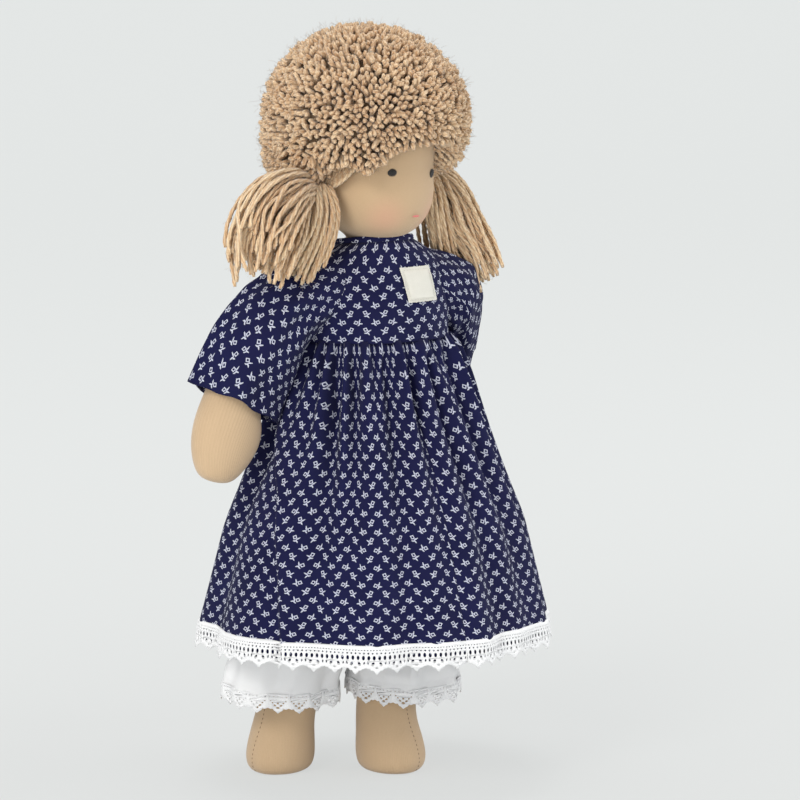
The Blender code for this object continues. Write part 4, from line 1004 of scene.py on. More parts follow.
# Rows: height in shares of the ankle's, half width, half length, how far forward
FOOT_SHARES = (
    (0.66, 0.93, 0.84, 0.65),
    (0.31, 1.0, 1.0, 1.0),
    (0.09, 0.92, 0.91, 0.97),
    (0.0, 0.60, 0.62, 0.92),
)
SEAM_PLACES, SEAM_TOP, SEAM_DROP = 40, 0.046, 0.044
RIGHT_ANKLE, RIGHT_SPLAY = (-0.0385, 0.0284), 58.0
LEFT_ANKLE, LEFT_SPLAY = (0.0068, 0.0016), 2.0


def leg_middle(side, ankle, drop_share):
    z = HIP_HEIGHT - LEG_TOP_DROP - (HIP_HEIGHT - LEG_TOP_DROP - ANKLE_HEIGHT) * drop_share
    x = side * LEG_X + (ankle[0] - side * LEG_X) * drop_share
    return BODY_X + x, ankle[1] * drop_share, z


seam_thread, wire, shader = finish_named("seam_thread", (0.20, 0.12, 0.07), 0.8, 0.2)
ply = wire.node("TexNoise", None, {"Vector": wire.place(), "Scale": 900.0})
tinted(shader, ply, (0.12, 0.07, 0.04), (0.32, 0.20, 0.12))
for side, name, ankle, splay, seam_turn in (
    (-1, "right", RIGHT_ANKLE, RIGHT_SPLAY, -14.0),
    (1, "left", LEFT_ANKLE, LEFT_SPLAY, 10.0),
):
    grow = soft_share(6)
    rings = []
    for drop_share, width_share, depth_share in LEG_SHARES:
        a, b = LEG_HALF_WIDTH * width_share, LEG_HALF_DEPTH * depth_share
        rings.append(flat_ring(*leg_middle(side, ankle, drop_share), a * grow, b * grow))
    turn = Matrix.Rotation(radians(side * splay), 4, "Z")
    for up_share, width_share, length_share, forward_share in FOOT_SHARES:
        spot = Vector((BODY_X + ankle[0], ankle[1], ANKLE_HEIGHT * up_share - FLAT_DEPTH))
        spot += turn @ Vector((0, -FOOT_FORWARD * forward_share, 0))
        a, b = FOOT_HALF_WIDTH * width_share, FOOT_HALF_LENGTH * length_share
        untwist = Matrix.Rotation(radians(-side * (60.0 if splay > 30 else 0.0)), 4, "Z")
        rings.append(flat_ring(*spot, a * grow, b * grow, radians(side * splay)) @ untwist)
    cage(6, rings)
    close_ends(False, True)
    leg = named(f"leg_{name}_jersey", jersey)
    smoothed(leg, 4)
    for vert in leg.data.vertices:
        vert.co.z = max(vert.co.z, 0.0)
    foot_place = Matrix.Translation((BODY_X + ankle[0], ankle[1], 0)) @ turn
    unrolled(leg, foot_place, FOOT_HALF_WIDTH)
    fitted(leg, f"leg_{name}", "skin_jersey", f"leg_skin_{name}")

    seam_spots = []
    way = turn @ Matrix.Rotation(radians(seam_turn), 4, "Z") @ Vector((0, -1, 0))
    for i in range(SEAM_PLACES):
        z = SEAM_TOP - SEAM_DROP * i / (SEAM_PLACES - 1)
        start = Vector((BODY_X + ankle[0], ankle[1], z)) + way * 0.08
        hit, spot, facing, _ = leg.ray_cast(start, -way)
        if hit:
            seam_spots.append((spot, facing))
    paths = []
    for (start, facing), (end, _) in zip(seam_spots[::2], seam_spots[1::2]):
        middle = (start + end) / 2 + facing * 0.00012
        sunk = facing * 0.0001
        paths.append([start - sunk, (start + middle) / 2, middle, (middle + end) / 2, end - sunk])
    stitched(f"foot_seam_{name}", paths, 0.00022, seam_thread, 0.5, f"leg_{name}")


# The dress's cotton: a plain weave, printed in white on navy with rows of small sprigs. A sprig
# is a bud in outline with two leaves, mirrored along the row and tilted from row to row.
NAVY = (0.0090, 0.0098, 0.0470)
INK = (0.62, 0.645, 0.76)
SPRIG_SIZE = 1.10
SPRIG_PITCH, SPRIG_ROW = 0.0088, 0.00445
# Leaves in millimetres: middle x, middle y, half length, tilt in degrees
SPRIG_LEAVES = ((0.75, 0.35, 1.15, 52.0), (0.95, -0.85, 0.85, -28.0), (-0.15, -1.05, 0.75, 18.0))


def weave_bump(wire, shader, cloth, pitch, depth):
    """The bump of a plain weave, whose threads cross over and under at this pitch."""
    over = cloth.part(0)
    along = cloth.part(1)
    warp = wire.maths("SINE", over * (2 * pi / pitch))
    weft = wire.maths("SINE", along * (2 * pi / pitch))
    slub = wire.noise(cloth, 900.0, 2.0)
    height = wire.maths("ADD", warp * weft * 0.5, slub * 0.7)
    bumped(shader, height, depth, 0.0003)
    return height


def sprig_print():
    made, wire, shader = finish_named("print_cotton", NAVY, 0.9, 0.03)
    shader.inputs["Specular IOR Level"].default_value = 0.12
    cloth = wire.cloth()
    across = cloth.part(0)
    along = cloth.part(1)
    row = along / SPRIG_ROW
    row_number = wire.maths("FLOOR", row)
    odd_row = wire.maths("FLOORED_MODULO", row_number, 2.0)
    column = across / SPRIG_PITCH + odd_row * 0.5
    column_number = wire.maths("FLOOR", column)
    mirror = 1 - 2 * wire.maths("FLOORED_MODULO", column_number, 2.0)
    x = (column - column_number - 0.5) * (1000 * SPRIG_PITCH / SPRIG_SIZE) * mirror
    y = (row - row_number - 0.5) * (1000 * SPRIG_ROW / SPRIG_SIZE)
    tilt = (odd_row - 0.5) * radians(44.0)
    c, s = wire.maths("COSINE", tilt), wire.maths("SINE", tilt)
    x, y = x * c + y * s, y * c - x * s
    rough = wire.noise(cloth, 2600.0, 1.0)
    edge = (rough - 0.5) * 0.30
    bud_x = wire.maths("ABSOLUTE", x + 0.95)
    bud_y = wire.maths("ABSOLUTE", y - 0.45)
    bud = wire.maths("ABSOLUTE", bud_x * 0.86 + bud_y - 0.84) + edge
    ink = wire.maths("LESS_THAN", bud, 0.26)
    for middle_x, middle_y, half, turn in SPRIG_LEAVES:
        u, v = cos(radians(turn)), sin(radians(turn))
        dx, dy = x - middle_x, y - middle_y
        long_way = wire.maths("ABSOLUTE", dx * u + dy * v)
        off = wire.maths("ABSOLUTE", dy * u - dx * v)
        taper = 0.33 - long_way * (0.20 / half)
        beyond = wire.maths("GREATER_THAN", half, long_way)
        leaf = wire.maths("LESS_THAN", off + edge, taper) * beyond
        ink = wire.maths("MAXIMUM", ink, leaf)
    fade = wire.noise(wire.place(), 45.0, 2.0)
    navy = mixed(fade, tuple(0.8 * c for c in NAVY), tuple(1.35 * c for c in NAVY))
    threads = wire.noise(cloth, 1500.0, 1.0)
    white = mixed(threads, tuple(0.72 * c for c in INK), INK)
    tinted(shader, ink, navy, white)
    weave_bump(wire, shader, cloth, 0.00042, 0.35)
    return made


def cloth_of(name, columns, rows, place_of, flat, finish, seamed=True):
    """A sheet of cloth: a grid laid at place_of(share across, share down), cut to the flat size."""
    deselected()
    bpy.ops.mesh.primitive_grid_add(x_subdivisions=columns, y_subdivisions=rows, size=1)
    mesh = bpy.context.object.data
    shares = [(vert.co.x + 0.5, 0.5 - vert.co.y) for vert in mesh.vertices]
    layer = mesh.uv_layers.new(name="cloth")
    for loop in mesh.loops:
        u, v = shares[loop.vertex_index]
        layer.data[loop.index].uv = (u * flat[0], -v * flat[1])
    for vert, (u, v) in zip(mesh.vertices, shares):
        vert.co = place_of(u, v)
    while len(mesh.uv_layers) > 1:
        mesh.uv_layers.remove(next(kept for kept in mesh.uv_layers if kept.name != "cloth"))
    if seamed:
        merged(1e-6)
    return named(name, finish)


def ripple(spot, scale, depth):
    """Soft unevenness of cloth at a place."""
    return depth * noise.noise(Vector(spot) * scale)


printed = sprig_print()


# The bodice: a front and two back halves of printed cotton, sewn at the sides, closed at the
# back with three buttons over a placket, and bound round the neck.
BODICE_HALF_WIDTH, BODICE_HALF_DEPTH = 0.0425, 0.032
WAIST_HEIGHT, BODICE_LENGTH = NECK_HEIGHT - 0.0455, 0.0490
ARMHOLE_RADIUS = 0.0185
CLOTH = 0.0008
# Rows: height, half width, half depth
BODICE_SHARES = (
    (0.0, 1.0, 1.0),
    (0.44, 0.98, 0.94),
    (0.68, 0.95, 0.835),
    (0.81, 0.905, 0.745),
    (0.92, 0.74, 0.665),
    (1.0, 0.50, 0.575),
)
NECKLINE_TILT, NECKLINE_RISE = 0.0024, 0.0016
fine_shares = np.linspace(0, 1, 201)
soft = np.exp(-(((np.arange(-20, 21)) / 7.0) ** 2))
soft /= soft.sum()


def smooth_table(rows):
    """A table of shares as smooth columns, read at fine_shares."""
    table = np.array(rows, dtype=float)
    kept = []
    for column in table.T[1:]:
        line = np.interp(fine_shares, table[:, 0], column)
        start, end = 2 * line[0] - line[20:0:-1], 2 * line[-1] - line[-2:-22:-1]
        kept.append(np.convolve(np.concatenate([start, line, end]), soft, mode="valid"))
    return kept


bodice_table = smooth_table(BODICE_SHARES)


def thickened(piece):
    """Gives a sheet of cloth its thickness, on its inner side."""
    applied(piece, "SOLIDIFY", thickness=CLOTH, offset=-1)


def read_at(table, share):
    return [float(np.interp(share, fine_shares, column)) for column in table]


def bodice_sizes(up_share):
    """Half width, half depth and height of the bodice."""
    width, depth = read_at(bodice_table, up_share)
    z = WAIST_HEIGHT + BODICE_LENGTH * up_share
    return BODICE_HALF_WIDTH * width, BODICE_HALF_DEPTH * depth, z


def on_bodice(up_share, angle, lift=0.0):
    a, b, z = bodice_sizes(up_share)
    z += (NECKLINE_RISE - NECKLINE_TILT * sin(angle)) * max(0.0, up_share / 0.25 - 3) ** 2
    return Vector((BODY_X + (a + lift) * cos(angle), (b + lift) * sin(angle), z))


tools = []
for side in (-1, 1):
    deselected()
    at = BODY_X + side * (SHOULDER_HALF_WIDTH - 0.35 * ARMHOLE_RADIUS + 0.02)
    bpy.ops.mesh.primitive_cylinder_add(
        vertices=48,
        radius=ARMHOLE_RADIUS - 0.0022,
        depth=0.04,
        location=(at, 0, SHOULDER_HEIGHT),
        rotation=(0, pi / 2, 0),
    )
    tools.append(bpy.context.object)
for name, start, end, sides in (
    ("bodice_front", -pi, 0, tools),
    ("bodice_back_left", 0, pi / 2, tools[1:]),
    ("bodice_back_right", pi / 2, pi, tools[:1]),
):
    columns = 60 if name == "bodice_front" else 30

    def lay(u, v):
        angle = start + (end - start) * u
        spot = on_bodice(1 - v, angle)
        out = ripple(spot, 70, 0.0009) + 0.0003 * (v > 0.98)
        return spot + Vector((cos(angle), sin(angle), 0)) * out

    girth = 0.0375 * (end - start)
    panel = cloth_of(name + "_cotton", columns, 30, lay, (girth, BODICE_LENGTH), printed, False)
    thickened(panel)
    for tool in sides:
        applied(panel, "BOOLEAN", object=tool, operation="DIFFERENCE", solver="EXACT")
    fitted(panel, "torso", "print_cotton", name)
for tool in tools:
    bpy.data.objects.remove(tool)


# The sleeves: wide tubes of the print, set into the armholes and hanging open over the arms.
# The hem is turned in, and the tube lies flattened into a crease at its outer corner.
SLEEVE_LENGTH = 0.080
# Rows in shares of the length: inner corner out and up, outer corner out and up, half depth
SLEEVE_RIGHT_SHARES = (
    (0.09, -0.345, 0.20, 0.155, 0.255),
    (0.145, -0.505, 0.47, 0.02, 0.262),
    (0.215, -0.69, 0.69, -0.20, 0.250),
    (0.265, -0.80, 0.81, -0.40, 0.235),
    (0.295, -0.875, 0.90, -0.58, 0.222),
)
SLEEVE_LEFT_SHARES = (
    (0.055, -0.35, 0.17, 0.12, 0.25),
    (0.050, -0.505, 0.34, -0.06, 0.25),
    (0.055, -0.69, 0.43, -0.28, 0.24),
    (0.07, -0.80, 0.47, -0.48, 0.23),
    (0.08, -0.875, 0.50, -0.66, 0.222),
)
SLEEVE_COLUMNS, SLEEVE_ROWS = 96, 48
SLEEVE_SEAM, SLEEVE_PRINT = 0.0270, (0.172, 0.076)
for side, name, rows, swing in (
    (-1, "right", SLEEVE_RIGHT_SHARES, 0.0),
    (1, "left", SLEEVE_LEFT_SHARES, LEFT_SWING),
):
    seam = Vector((BODY_X + side * SHOULDER_HALF_WIDTH, 0, SHOULDER_HEIGHT))
    lines = []
    for i in range(SLEEVE_COLUMNS + 1):
        angle = 2 * pi * i / SLEEVE_COLUMNS
        y, z = ARMHOLE_RADIUS * cos(angle), ARMHOLE_RADIUS * sin(angle)
        for shrink in np.linspace(1.0, 0.7, 31):
            up_share = (SHOULDER_HEIGHT + z * shrink - WAIST_HEIGHT) / BODICE_LENGTH
            a, b, _ = bodice_sizes(held(up_share))
            if (SLEEVE_SEAM / (a - 0.0012)) ** 2 + (y * shrink / (b - 0.0012)) ** 2 < 1:
                break
        seam_x = side * (SLEEVE_SEAM - SHOULDER_HALF_WIDTH)
        line = [Vector((seam_x, -side * y * shrink, z * shrink))]
        for k, (in_x, in_z, out_x, out_z, depth) in enumerate(rows):
            inner = Vector((side * in_x, 0, in_z)) * SLEEVE_LENGTH
            outer = Vector((side * out_x, 0, out_z)) * SLEEVE_LENGTH
            turn = Matrix.Rotation(radians(-swing) * min(1, (k + 1) / 2), 3, "X")
            half = (outer - inner).length / 2
            across = (outer - inner).normalized()
            t = angle - pi / 2
            share = (k + 1) / len(rows)
            fold = 0.0022 * share * cos(5 * t) + 0.0008 * cos(9 * t + 1)
            sharp = 1 + 0.55 * share
            deep = abs(sin(t)) ** sharp * (1 if sin(t) > 0 else -1)
            spot = (inner + outer) / 2 + across * (cos(t) * (half + fold))
            spot.y += side * deep * (depth * SLEEVE_LENGTH + fold)
            line.append(turn @ spot)
        lines.append(resampled([tuple(spot + seam) for spot in line], SLEEVE_ROWS + 1))

    def lay(u, v):
        i, k = round(u * SLEEVE_COLUMNS), round(v * SLEEVE_ROWS)
        spot = Vector(lines[i % SLEEVE_COLUMNS][k])
        out = spot - seam
        out.x *= 0.3
        wave = ripple(spot, 62, 0.0024) + ripple(spot, 140, 0.0008)
        return spot + out.normalized() * (wave * min(1.0, v * 4))

    sleeve = cloth_of(
        f"sleeve_{name}_cotton", SLEEVE_COLUMNS, SLEEVE_ROWS, lay, SLEEVE_PRINT, printed
    )
    applied(sleeve, "SOLIDIFY", thickness=CLOTH, offset=0)
    fitted(sleeve, None, "print_cotton", f"sleeve_{name}")
    reach = turn @ Vector((side * 0.020, 0, -0.027))
    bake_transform(sleeve)


# What closes and trims the bodice: a placket strip under the back edges, three shell buttons,
# a bias binding round the neck, and a bare square of cream cloth sewn to the chest.
PLACKET_WIDTH = 0.011
placket_half = PLACKET_WIDTH / 2 / BODICE_HALF_WIDTH


def lay(u, v):
    angle = pi / 2 + placket_half * (2 * u - 1)
    return on_bodice(1 - v, angle, -(CLOTH + 0.0004))


placket = cloth_of("placket_cotton", 8, 30, lay, (PLACKET_WIDTH, BODICE_LENGTH), printed, False)
thickened(placket)
fitted(placket, "torso", "print_cotton", "placket")

shell, wire, shader = finish_named("button_shell", (0.86, 0.83, 0.76), 0.22)
shader.inputs["Coat Weight"].default_value = 0.4
layers = wire.noise(wire.place(), 300.0, 4.0)
tinted(shader, layers, (0.72, 0.68, 0.62), (0.93, 0.91, 0.88))
bumped(shader, layers, 0.1, 0.0002)
white_thread, wire, shader = finish_named("white_thread", (0.85, 0.83, 0.78), 0.75, 0.2)
ply = wire.node("TexWave", {"bands_direction": "DIAGONAL"}, {0: wire.place(), "Scale": 900.0})
tinted(shader, ply, (0.62, 0.59, 0.52), (0.88, 0.86, 0.80))
BUTTON_RADIUS, BUTTON_THICKNESS, HOLE_RADIUS = 0.0036, 0.0014, 0.00038
LOWEST_BUTTON, BUTTON_SPAN, BUTTON_ASIDE = 0.14, 0.70, 0.0052
for i in range(3):
    up_share = LOWEST_BUTTON + BUTTON_SPAN * i / 2
    a, b, _ = bodice_sizes(up_share)
    angle = pi / 2 + BUTTON_ASIDE / a
    spot = on_bodice(up_share, angle)
    up = on_bodice(min(up_share + 0.05, 1), angle) - on_bodice(up_share - 0.05, angle)
    facing = Vector((-a * sin(angle), b * cos(angle), 0)).cross(up).normalized()
    seat = Matrix.Translation(spot + facing * (BUTTON_THICKNESS / 2 + 0.0004))
    seat = seat @ facing.to_track_quat("Z", "Y").to_matrix().to_4x4()
    deselected()
    bpy.ops.mesh.primitive_cylinder_add(vertices=40, radius=BUTTON_RADIUS, depth=BUTTON_THICKNESS)
    button = bpy.context.object
    all_selected()
    bpy.ops.mesh.bevel(offset=0.0003, segments=2)
    chosen("FACE", lambda face: face.normal.z > 0.99)
    bpy.ops.mesh.inset(thickness=0.0006, depth=0)
    bpy.ops.mesh.inset(thickness=0.0003, depth=-0.00025)
    bpy.ops.object.mode_set(mode="OBJECT")
    for x in (-0.0006, 0.0006):
        bpy.ops.mesh.primitive_cylinder_add(
            vertices=14, radius=HOLE_RADIUS, depth=0.01, location=(x, 0, 0)
        )
        hole = bpy.context.object
        applied(button, "BOOLEAN", object=hole, operation="DIFFERENCE", solver="EXACT")
        bpy.data.objects.remove(hole)
    bpy.context.view_layer.objects.active = button
    named(f"button_{i + 1}_shell", shell)
    button.data.transform(seat)
    bpy.ops.object.shade_smooth_by_angle(angle=radians(40))
    fitted(button, "torso", "button_shell", f"button_{i + 1}")
    deselected()
    bpy.ops.mesh.primitive_uv_sphere_add(segments=10, ring_count=8, radius=1)
    named(f"button_{i + 1}_thread", white_thread)
    thread = bpy.context.object
    stitch_size = Matrix.Diagonal((0.0009, 0.0003, 0.0004, 1))
    thread.data.transform(seat @ Matrix.Translation((0, 0, 0.0005)) @ stitch_size)
    fitted(thread, "torso", "thread")

a, b, z = bodice_sizes(1.0)
deselected()
bpy.ops.mesh.primitive_torus_add(
    major_segments=96, minor_segments=12, major_radius=1, minor_radius=0.1
)
binding = bpy.context.object
for vert in binding.data.vertices:
    level = Vector((vert.co.x, vert.co.y, 0))
    around, off = level.normalized(), (level.length - 1) / 0.1
    rise = vert.co.z / 0.1
    wave = 0.00012 * sin(41 * atan2(around.y, around.x))
    vert.co = (around.x * (a - CLOTH / 2), around.y * (b - CLOTH / 2), z + 0.0010)
    vert.co += around * off * (0.0010 + wave)
    vert.co.z += rise * 0.0017 - off * 0.0005 + NECKLINE_RISE - NECKLINE_TILT * around.y
    vert.co.x += BODY_X
binding = named("neck_binding_cotton", printed)
unrolled(binding, Matrix.Translation((BODY_X, 0, 0)), 0.021)
fitted(binding, "torso", "print_cotton", "neckline_binding")

cream, wire, shader = finish_named("cream_cloth", (0.86, 0.84, 0.76), 0.9, 0.2)
cloth = wire.cloth()
height = weave_bump(wire, shader, cloth, 0.0007, 0.8)
blotch = wire.noise(cloth, 160.0, 3.0)
share = wire.maths("ADD", height * 0.35 + 0.5, (blotch - 0.5) * 0.5, clamp=True)
tinted(shader, share, (0.72, 0.70, 0.61), (0.88, 0.86, 0.78))
PATCH_SIDE, PATCH_X, PATCH_RISE_SHARE = 0.020, 0.0115, 0.605
PATCH_TALL, PATCH_LEAN = 0.90, 0.12


def on_chest(across, up, lift):
    """A place on the patch, from its middle, in metres."""
    share = PATCH_RISE_SHARE + PATCH_TALL * up / BODICE_LENGTH
    a, b, z = bodice_sizes(share)
    x = PATCH_X + across - PATCH_LEAN * up
    return Vector((BODY_X + x, -(b + lift) * sqrt(1 - (x / (a + lift)) ** 2), z))


def lay(u, v):
    across, up = (u - 0.5) * PATCH_SIDE, (0.5 - v) * PATCH_SIDE
    rim = max(abs(u - 0.5), abs(v - 0.5)) * 2
    fray = 0.00045 * noise.noise(Vector((u * 19, v * 19, 3))) * (rim > 0.93)
    across, up = across + fray, up + fray
    puff = 0.0009 * (1 - rim**3) + 0.0003 * noise.noise(Vector((u * 4, v * 4, 0)))
    return on_chest(across, up, 0.0009 + puff - 0.0004 * (0.80 < rim < 0.92))


patch = cloth_of("chest_patch_cloth", 44, 44, lay, (PATCH_SIDE, PATCH_SIDE), cream, False)
applied(patch, "SOLIDIFY", thickness=0.0006, offset=0)
fitted(patch, "torso", "cream_cloth", "chest_patch")
paths = []
half = 0.43 * PATCH_SIDE
for i in range(9):
    start, end = -half + 2 * half * (i + 0.12) / 9, -half + 2 * half * (i + 0.78) / 9
    for level in (-half, half):
        for flip in (False, True):
            line = []
            for k in range(5):
                run, lift = start + (end - start) * k / 4, 0.0013 + 0.00028 * sin(pi * k / 4)
                line.append(on_chest(level, run, lift) if flip else on_chest(run, level, lift))
            paths.append(line)
stitched("chest_patch_stitches", paths, 0.00021, white_thread, 0.7, "torso")


# The bloomers: white cotton, gathered on elastic at the waist, with two wide legs that end in
# lace cuffs. The seat hides under the skirt, and the cuffs are tied to the doll's legs.
BLOOMERS_TOP, BLOOMERS_CROTCH, BLOOMERS_HEM = 0.2130, 0.1413, 0.0510
SEAT_HALF_WIDTH, SEAT_HALF_DEPTH = 0.047, 0.0335
SEAT_SHARES = (
    (0.0, 1.0, 0.72),
    (0.12, 1.01, 0.88),
    (0.35, 0.98, 1.0),
    (0.70, 0.925, 0.985),
    (1.0, 0.875, 1.0),
)
BLOOMERS_LEG_SHARES = ((0.0, 0.22), (0.16, 0.48), (0.42, 0.86), (0.75, 1.0), (1.0, 0.98))
OUTER_EASE, DEPTH_EASE, HEM_DIP = 0.0225, 0.0115, 0.0052
CUFF_REPEATS, LEG_CLOTH_TOP = 18, 0.1405
LACE_THICKNESS = 0.0006
SEAT_CUT, LEG_CUT = (0.30, 0.074), (0.185, 0.092)
white_cotton, wire, shader = finish_named("white_cotton", (0.80, 0.80, 0.82), 0.9, 0.15)
cloth = wire.cloth()
height = weave_bump(wire, shader, cloth, 0.0004, 0.5)
fade = wire.noise(wire.place(), 30.0, 2.0)
share = wire.maths("ADD", height * 0.12 + 0.45, (fade - 0.5) * 0.5, clamp=True)
tinted(shader, share, (0.90, 0.90, 0.90), (0.96, 0.96, 0.96))
seat_table = smooth_table(SEAT_SHARES)
leg_table = smooth_table(BLOOMERS_LEG_SHARES)


def lay(u, v):
    angle = 2 * pi * u - pi / 2
    a, b = read_at(seat_table, 1 - v)
    gather = 0.0009 * cos(34 * angle) * v**0.5 * max(0.0, 1 - 2.5 * v)
    a, b = SEAT_HALF_WIDTH * a + gather, SEAT_HALF_DEPTH * b + gather
    z = BLOOMERS_CROTCH + (BLOOMERS_TOP - BLOOMERS_CROTCH) * (1 - v)
    return Vector((BODY_X + a * cos(angle), b * sin(angle), z))


seat = cloth_of("bloomers_seat_cotton", 136, 30, lay, SEAT_CUT, white_cotton)
thickened(seat)
fitted(seat, "torso", "white_cotton", "bloomers_seat")

lace, wire, shader = finish_named("cotton_lace", (0.85, 0.85, 0.86), 0.88, 0.2)
sockets = {"Vector": wire.cloth(), "Scale": 1500.0}
threads = wire.node("TexVoronoi", {"feature": "DISTANCE_TO_EDGE"}, sockets)
tinted(shader, threads * 3.0, (0.82, 0.82, 0.825), (0.93, 0.93, 0.93))
bumped(shader, threads, 0.6, 0.0003)


def oval(x, y, half_width, half_height, turn=0.0, points=8):
    c, s = cos(radians(turn)), sin(radians(turn))
    kept = []
    for i in range(points):
        u, v = half_width * cos(2 * pi * i / points), half_height * sin(2 * pi * i / points)
        kept.append((x + u * c - v * s, y + u * s + v * c))
    return kept


def lace_unit(outline, holes):
    """One repeat of a lace edging, a millimetre to the unit: a flat curve with holes, as a mesh."""
    deselected()
    curve = bpy.data.curves.new("lace_unit", "CURVE")
    curve.dimensions = "2D"
    curve.fill_mode = "BOTH"
    for points in (outline, *holes):
        spline = curve.splines.new("POLY")
        spline.points.add(len(points) - 1)
        for spot, (x, y) in zip(spline.points, points):
            spot.co = (x, y, 0, 1)
        spline.use_cyclic_u = True
    unit = bpy.data.objects.new("lace_unit", curve)
    bpy.context.scene.collection.objects.link(unit)
    unit.select_set(True)
    bpy.context.view_layer.objects.active = unit
    bpy.ops.object.convert(target="MESH")
    return bpy.context.object


def lace_round(name, unit, width, repeats, place_of):
    """A run of lace repeats in one mesh, laid at place_of(share round, drop in metres)."""
    flat = [Vector(vert.co) for vert in unit.data.vertices]
    unit_faces = [tuple(face.vertices) for face in unit.data.polygons]
    points, faces, spots = [], [], []
    for n in range(repeats):
        base = len(points)
        for spot in flat:
            points.append(place_of((n + spot.x / width) / repeats, -spot.y / 1000))
            spots.append(((n * width + spot.x) / 1000, spot.y / 1000))
        faces += [tuple(base + i for i in face) for face in unit_faces]
    mesh = bpy.data.meshes.new(name)
    mesh.from_pydata(points, [], faces)
    layer = mesh.uv_layers.new(name="cloth")
    for loop in mesh.loops:
        layer.data[loop.index].uv = spots[loop.vertex_index]
    placed(mesh)
    merged(0.00002)
    piece = named(name, lace)
    applied(piece, "SOLIDIFY", thickness=LACE_THICKNESS, offset=0)
    return piece


# The cuff lace: a fan of small holes over each pointed scallop
CUFF_WIDTH = 9.6
outline = [(0, 0.6), (CUFF_WIDTH, 0.6), (CUFF_WIDTH, -7.0)]
outline += [(8.4, -7.6), (7.3, -7.3), (6.7, -8.5), (5.8, -9.0), (4.8, -10.0)]
outline += [(3.8, -9.0), (2.9, -8.5), (2.3, -7.3), (1.2, -7.6), (0, -7.0)]
holes = [oval(x, -0.9, 0.42, 0.3, 0, 6) for x in (0.96, 2.88, 4.8, 6.72, 8.64)]
holes += [oval(4.8, -6.9, 0.85, 0.62), oval(4.8, -4.5, 0.5, 0.6)]
holes += [oval(4.8 + way * 1.45, -5.7, 0.75, 0.5, way * 38) for way in (-1, 1)]
holes += [oval(4.8 + way * 2.5, -4.3, 0.5, 0.42, way * 30, 6) for way in (-1, 1)]
holes += [oval(4.8 + way * 3.55, -3.2, 0.4, 0.34, 0, 6) for way in (-1, 1)]
cuff_unit = lace_unit(outline, holes)
for side, name, ankle, inner_ease in (
    (-1, "right", RIGHT_ANKLE, 0.0055),
    (1, "left", LEFT_ANKLE, 0.0025),
):

    def leg_place(share, z, grow=0.0):
        """A place round a bloomers leg at a height."""
        angle = 2 * pi * share - pi / 2
        drop_share = (BLOOMERS_CROTCH - z) / (BLOOMERS_CROTCH - BLOOMERS_HEM)
        ease = read_at(leg_table, drop_share)[0]
        down = (HIP_HEIGHT - z) / (HIP_HEIGHT - ANKLE_HEIGHT)
        x, y, _ = leg_middle(side, ankle, max(down, 0))
        outer, inner = OUTER_EASE * ease, inner_ease * ease**2
        a = LEG_HALF_WIDTH + (outer + inner) / 2 + grow
        b = LEG_HALF_DEPTH + DEPTH_EASE * sqrt(ease) + grow
        fold = 0.0011 * ease * cos(7 * angle + side + 9 * z) + 0.0006 * cos(13 * angle)
        dip = HEM_DIP * max(drop_share, 0) ** 2 * (0.45 - 0.55 * sin(angle))
        x += side * (outer - inner) / 2
        return Vector((x + (a + fold) * cos(angle), y + (b + fold) * sin(angle), z - dip))

    def rippled(spot, z):
        out = spot - Vector((*leg_middle(side, ankle, 0.7)[:2], z))
        return spot + out.normalized() * ripple(spot, 55, 0.0022)

    def lay(u, v):
        z = LEG_CLOTH_TOP - (LEG_CLOTH_TOP - BLOOMERS_HEM) * v
        tuck = -0.0016 * max(0.0, 1 - 8 * v)
        crease = 0.0007 * np.exp(-(((z - BLOOMERS_HEM - 0.004) / 0.0012) ** 2))
        spot = leg_place(u, z, tuck - float(crease))
        return rippled(spot, z)

    leg_cotton = cloth_of(f"bloomers_leg_{name}_cotton", 96, 56, lay, LEG_CUT, white_cotton)
    thickened(leg_cotton)
    fitted(leg_cotton, None, "white_cotton", f"bloomers_leg_{name}")
    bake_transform(leg_cotton)

    def hang_cuff(share, drop):
        spot = leg_place(share, BLOOMERS_HEM + 0.0008, 0.0002 + 0.04 * drop)
        return rippled(spot, spot.z) - Vector((0, 0, drop))

    cuff = lace_round(f"bloomers_{name}_lace", cuff_unit, CUFF_WIDTH, CUFF_REPEATS, hang_cuff)
    fitted(cuff, f"leg_{name}", "cotton_lace", f"bloomers_lace_{name}")
bpy.data.objects.remove(cuff_unit)


# The skirt: a long strip of the print, gathered into the waist seam. Its gathers run together
# into folds that open towards the hem, where a cotton lace is sewn on.
SKIRT_LENGTH, SKIRT_HALF_WIDTH, SKIRT_HALF_DEPTH = 0.1512, 0.0920, 0.0890
HEM_REPEATS = 54
# Rows: drop, half width and half depth from the waist's to the hem's
SKIRT_SHARES = (
    (0.0, 0.0, 0.0),
    (0.05, 0.045, 0.06),
    (0.13, 0.14, 0.15),
    (0.25, 0.27, 0.28),
    (0.43, 0.47, 0.52),
    (0.65, 0.745, 0.77),
    (1.0, 1.0, 1.0),
)
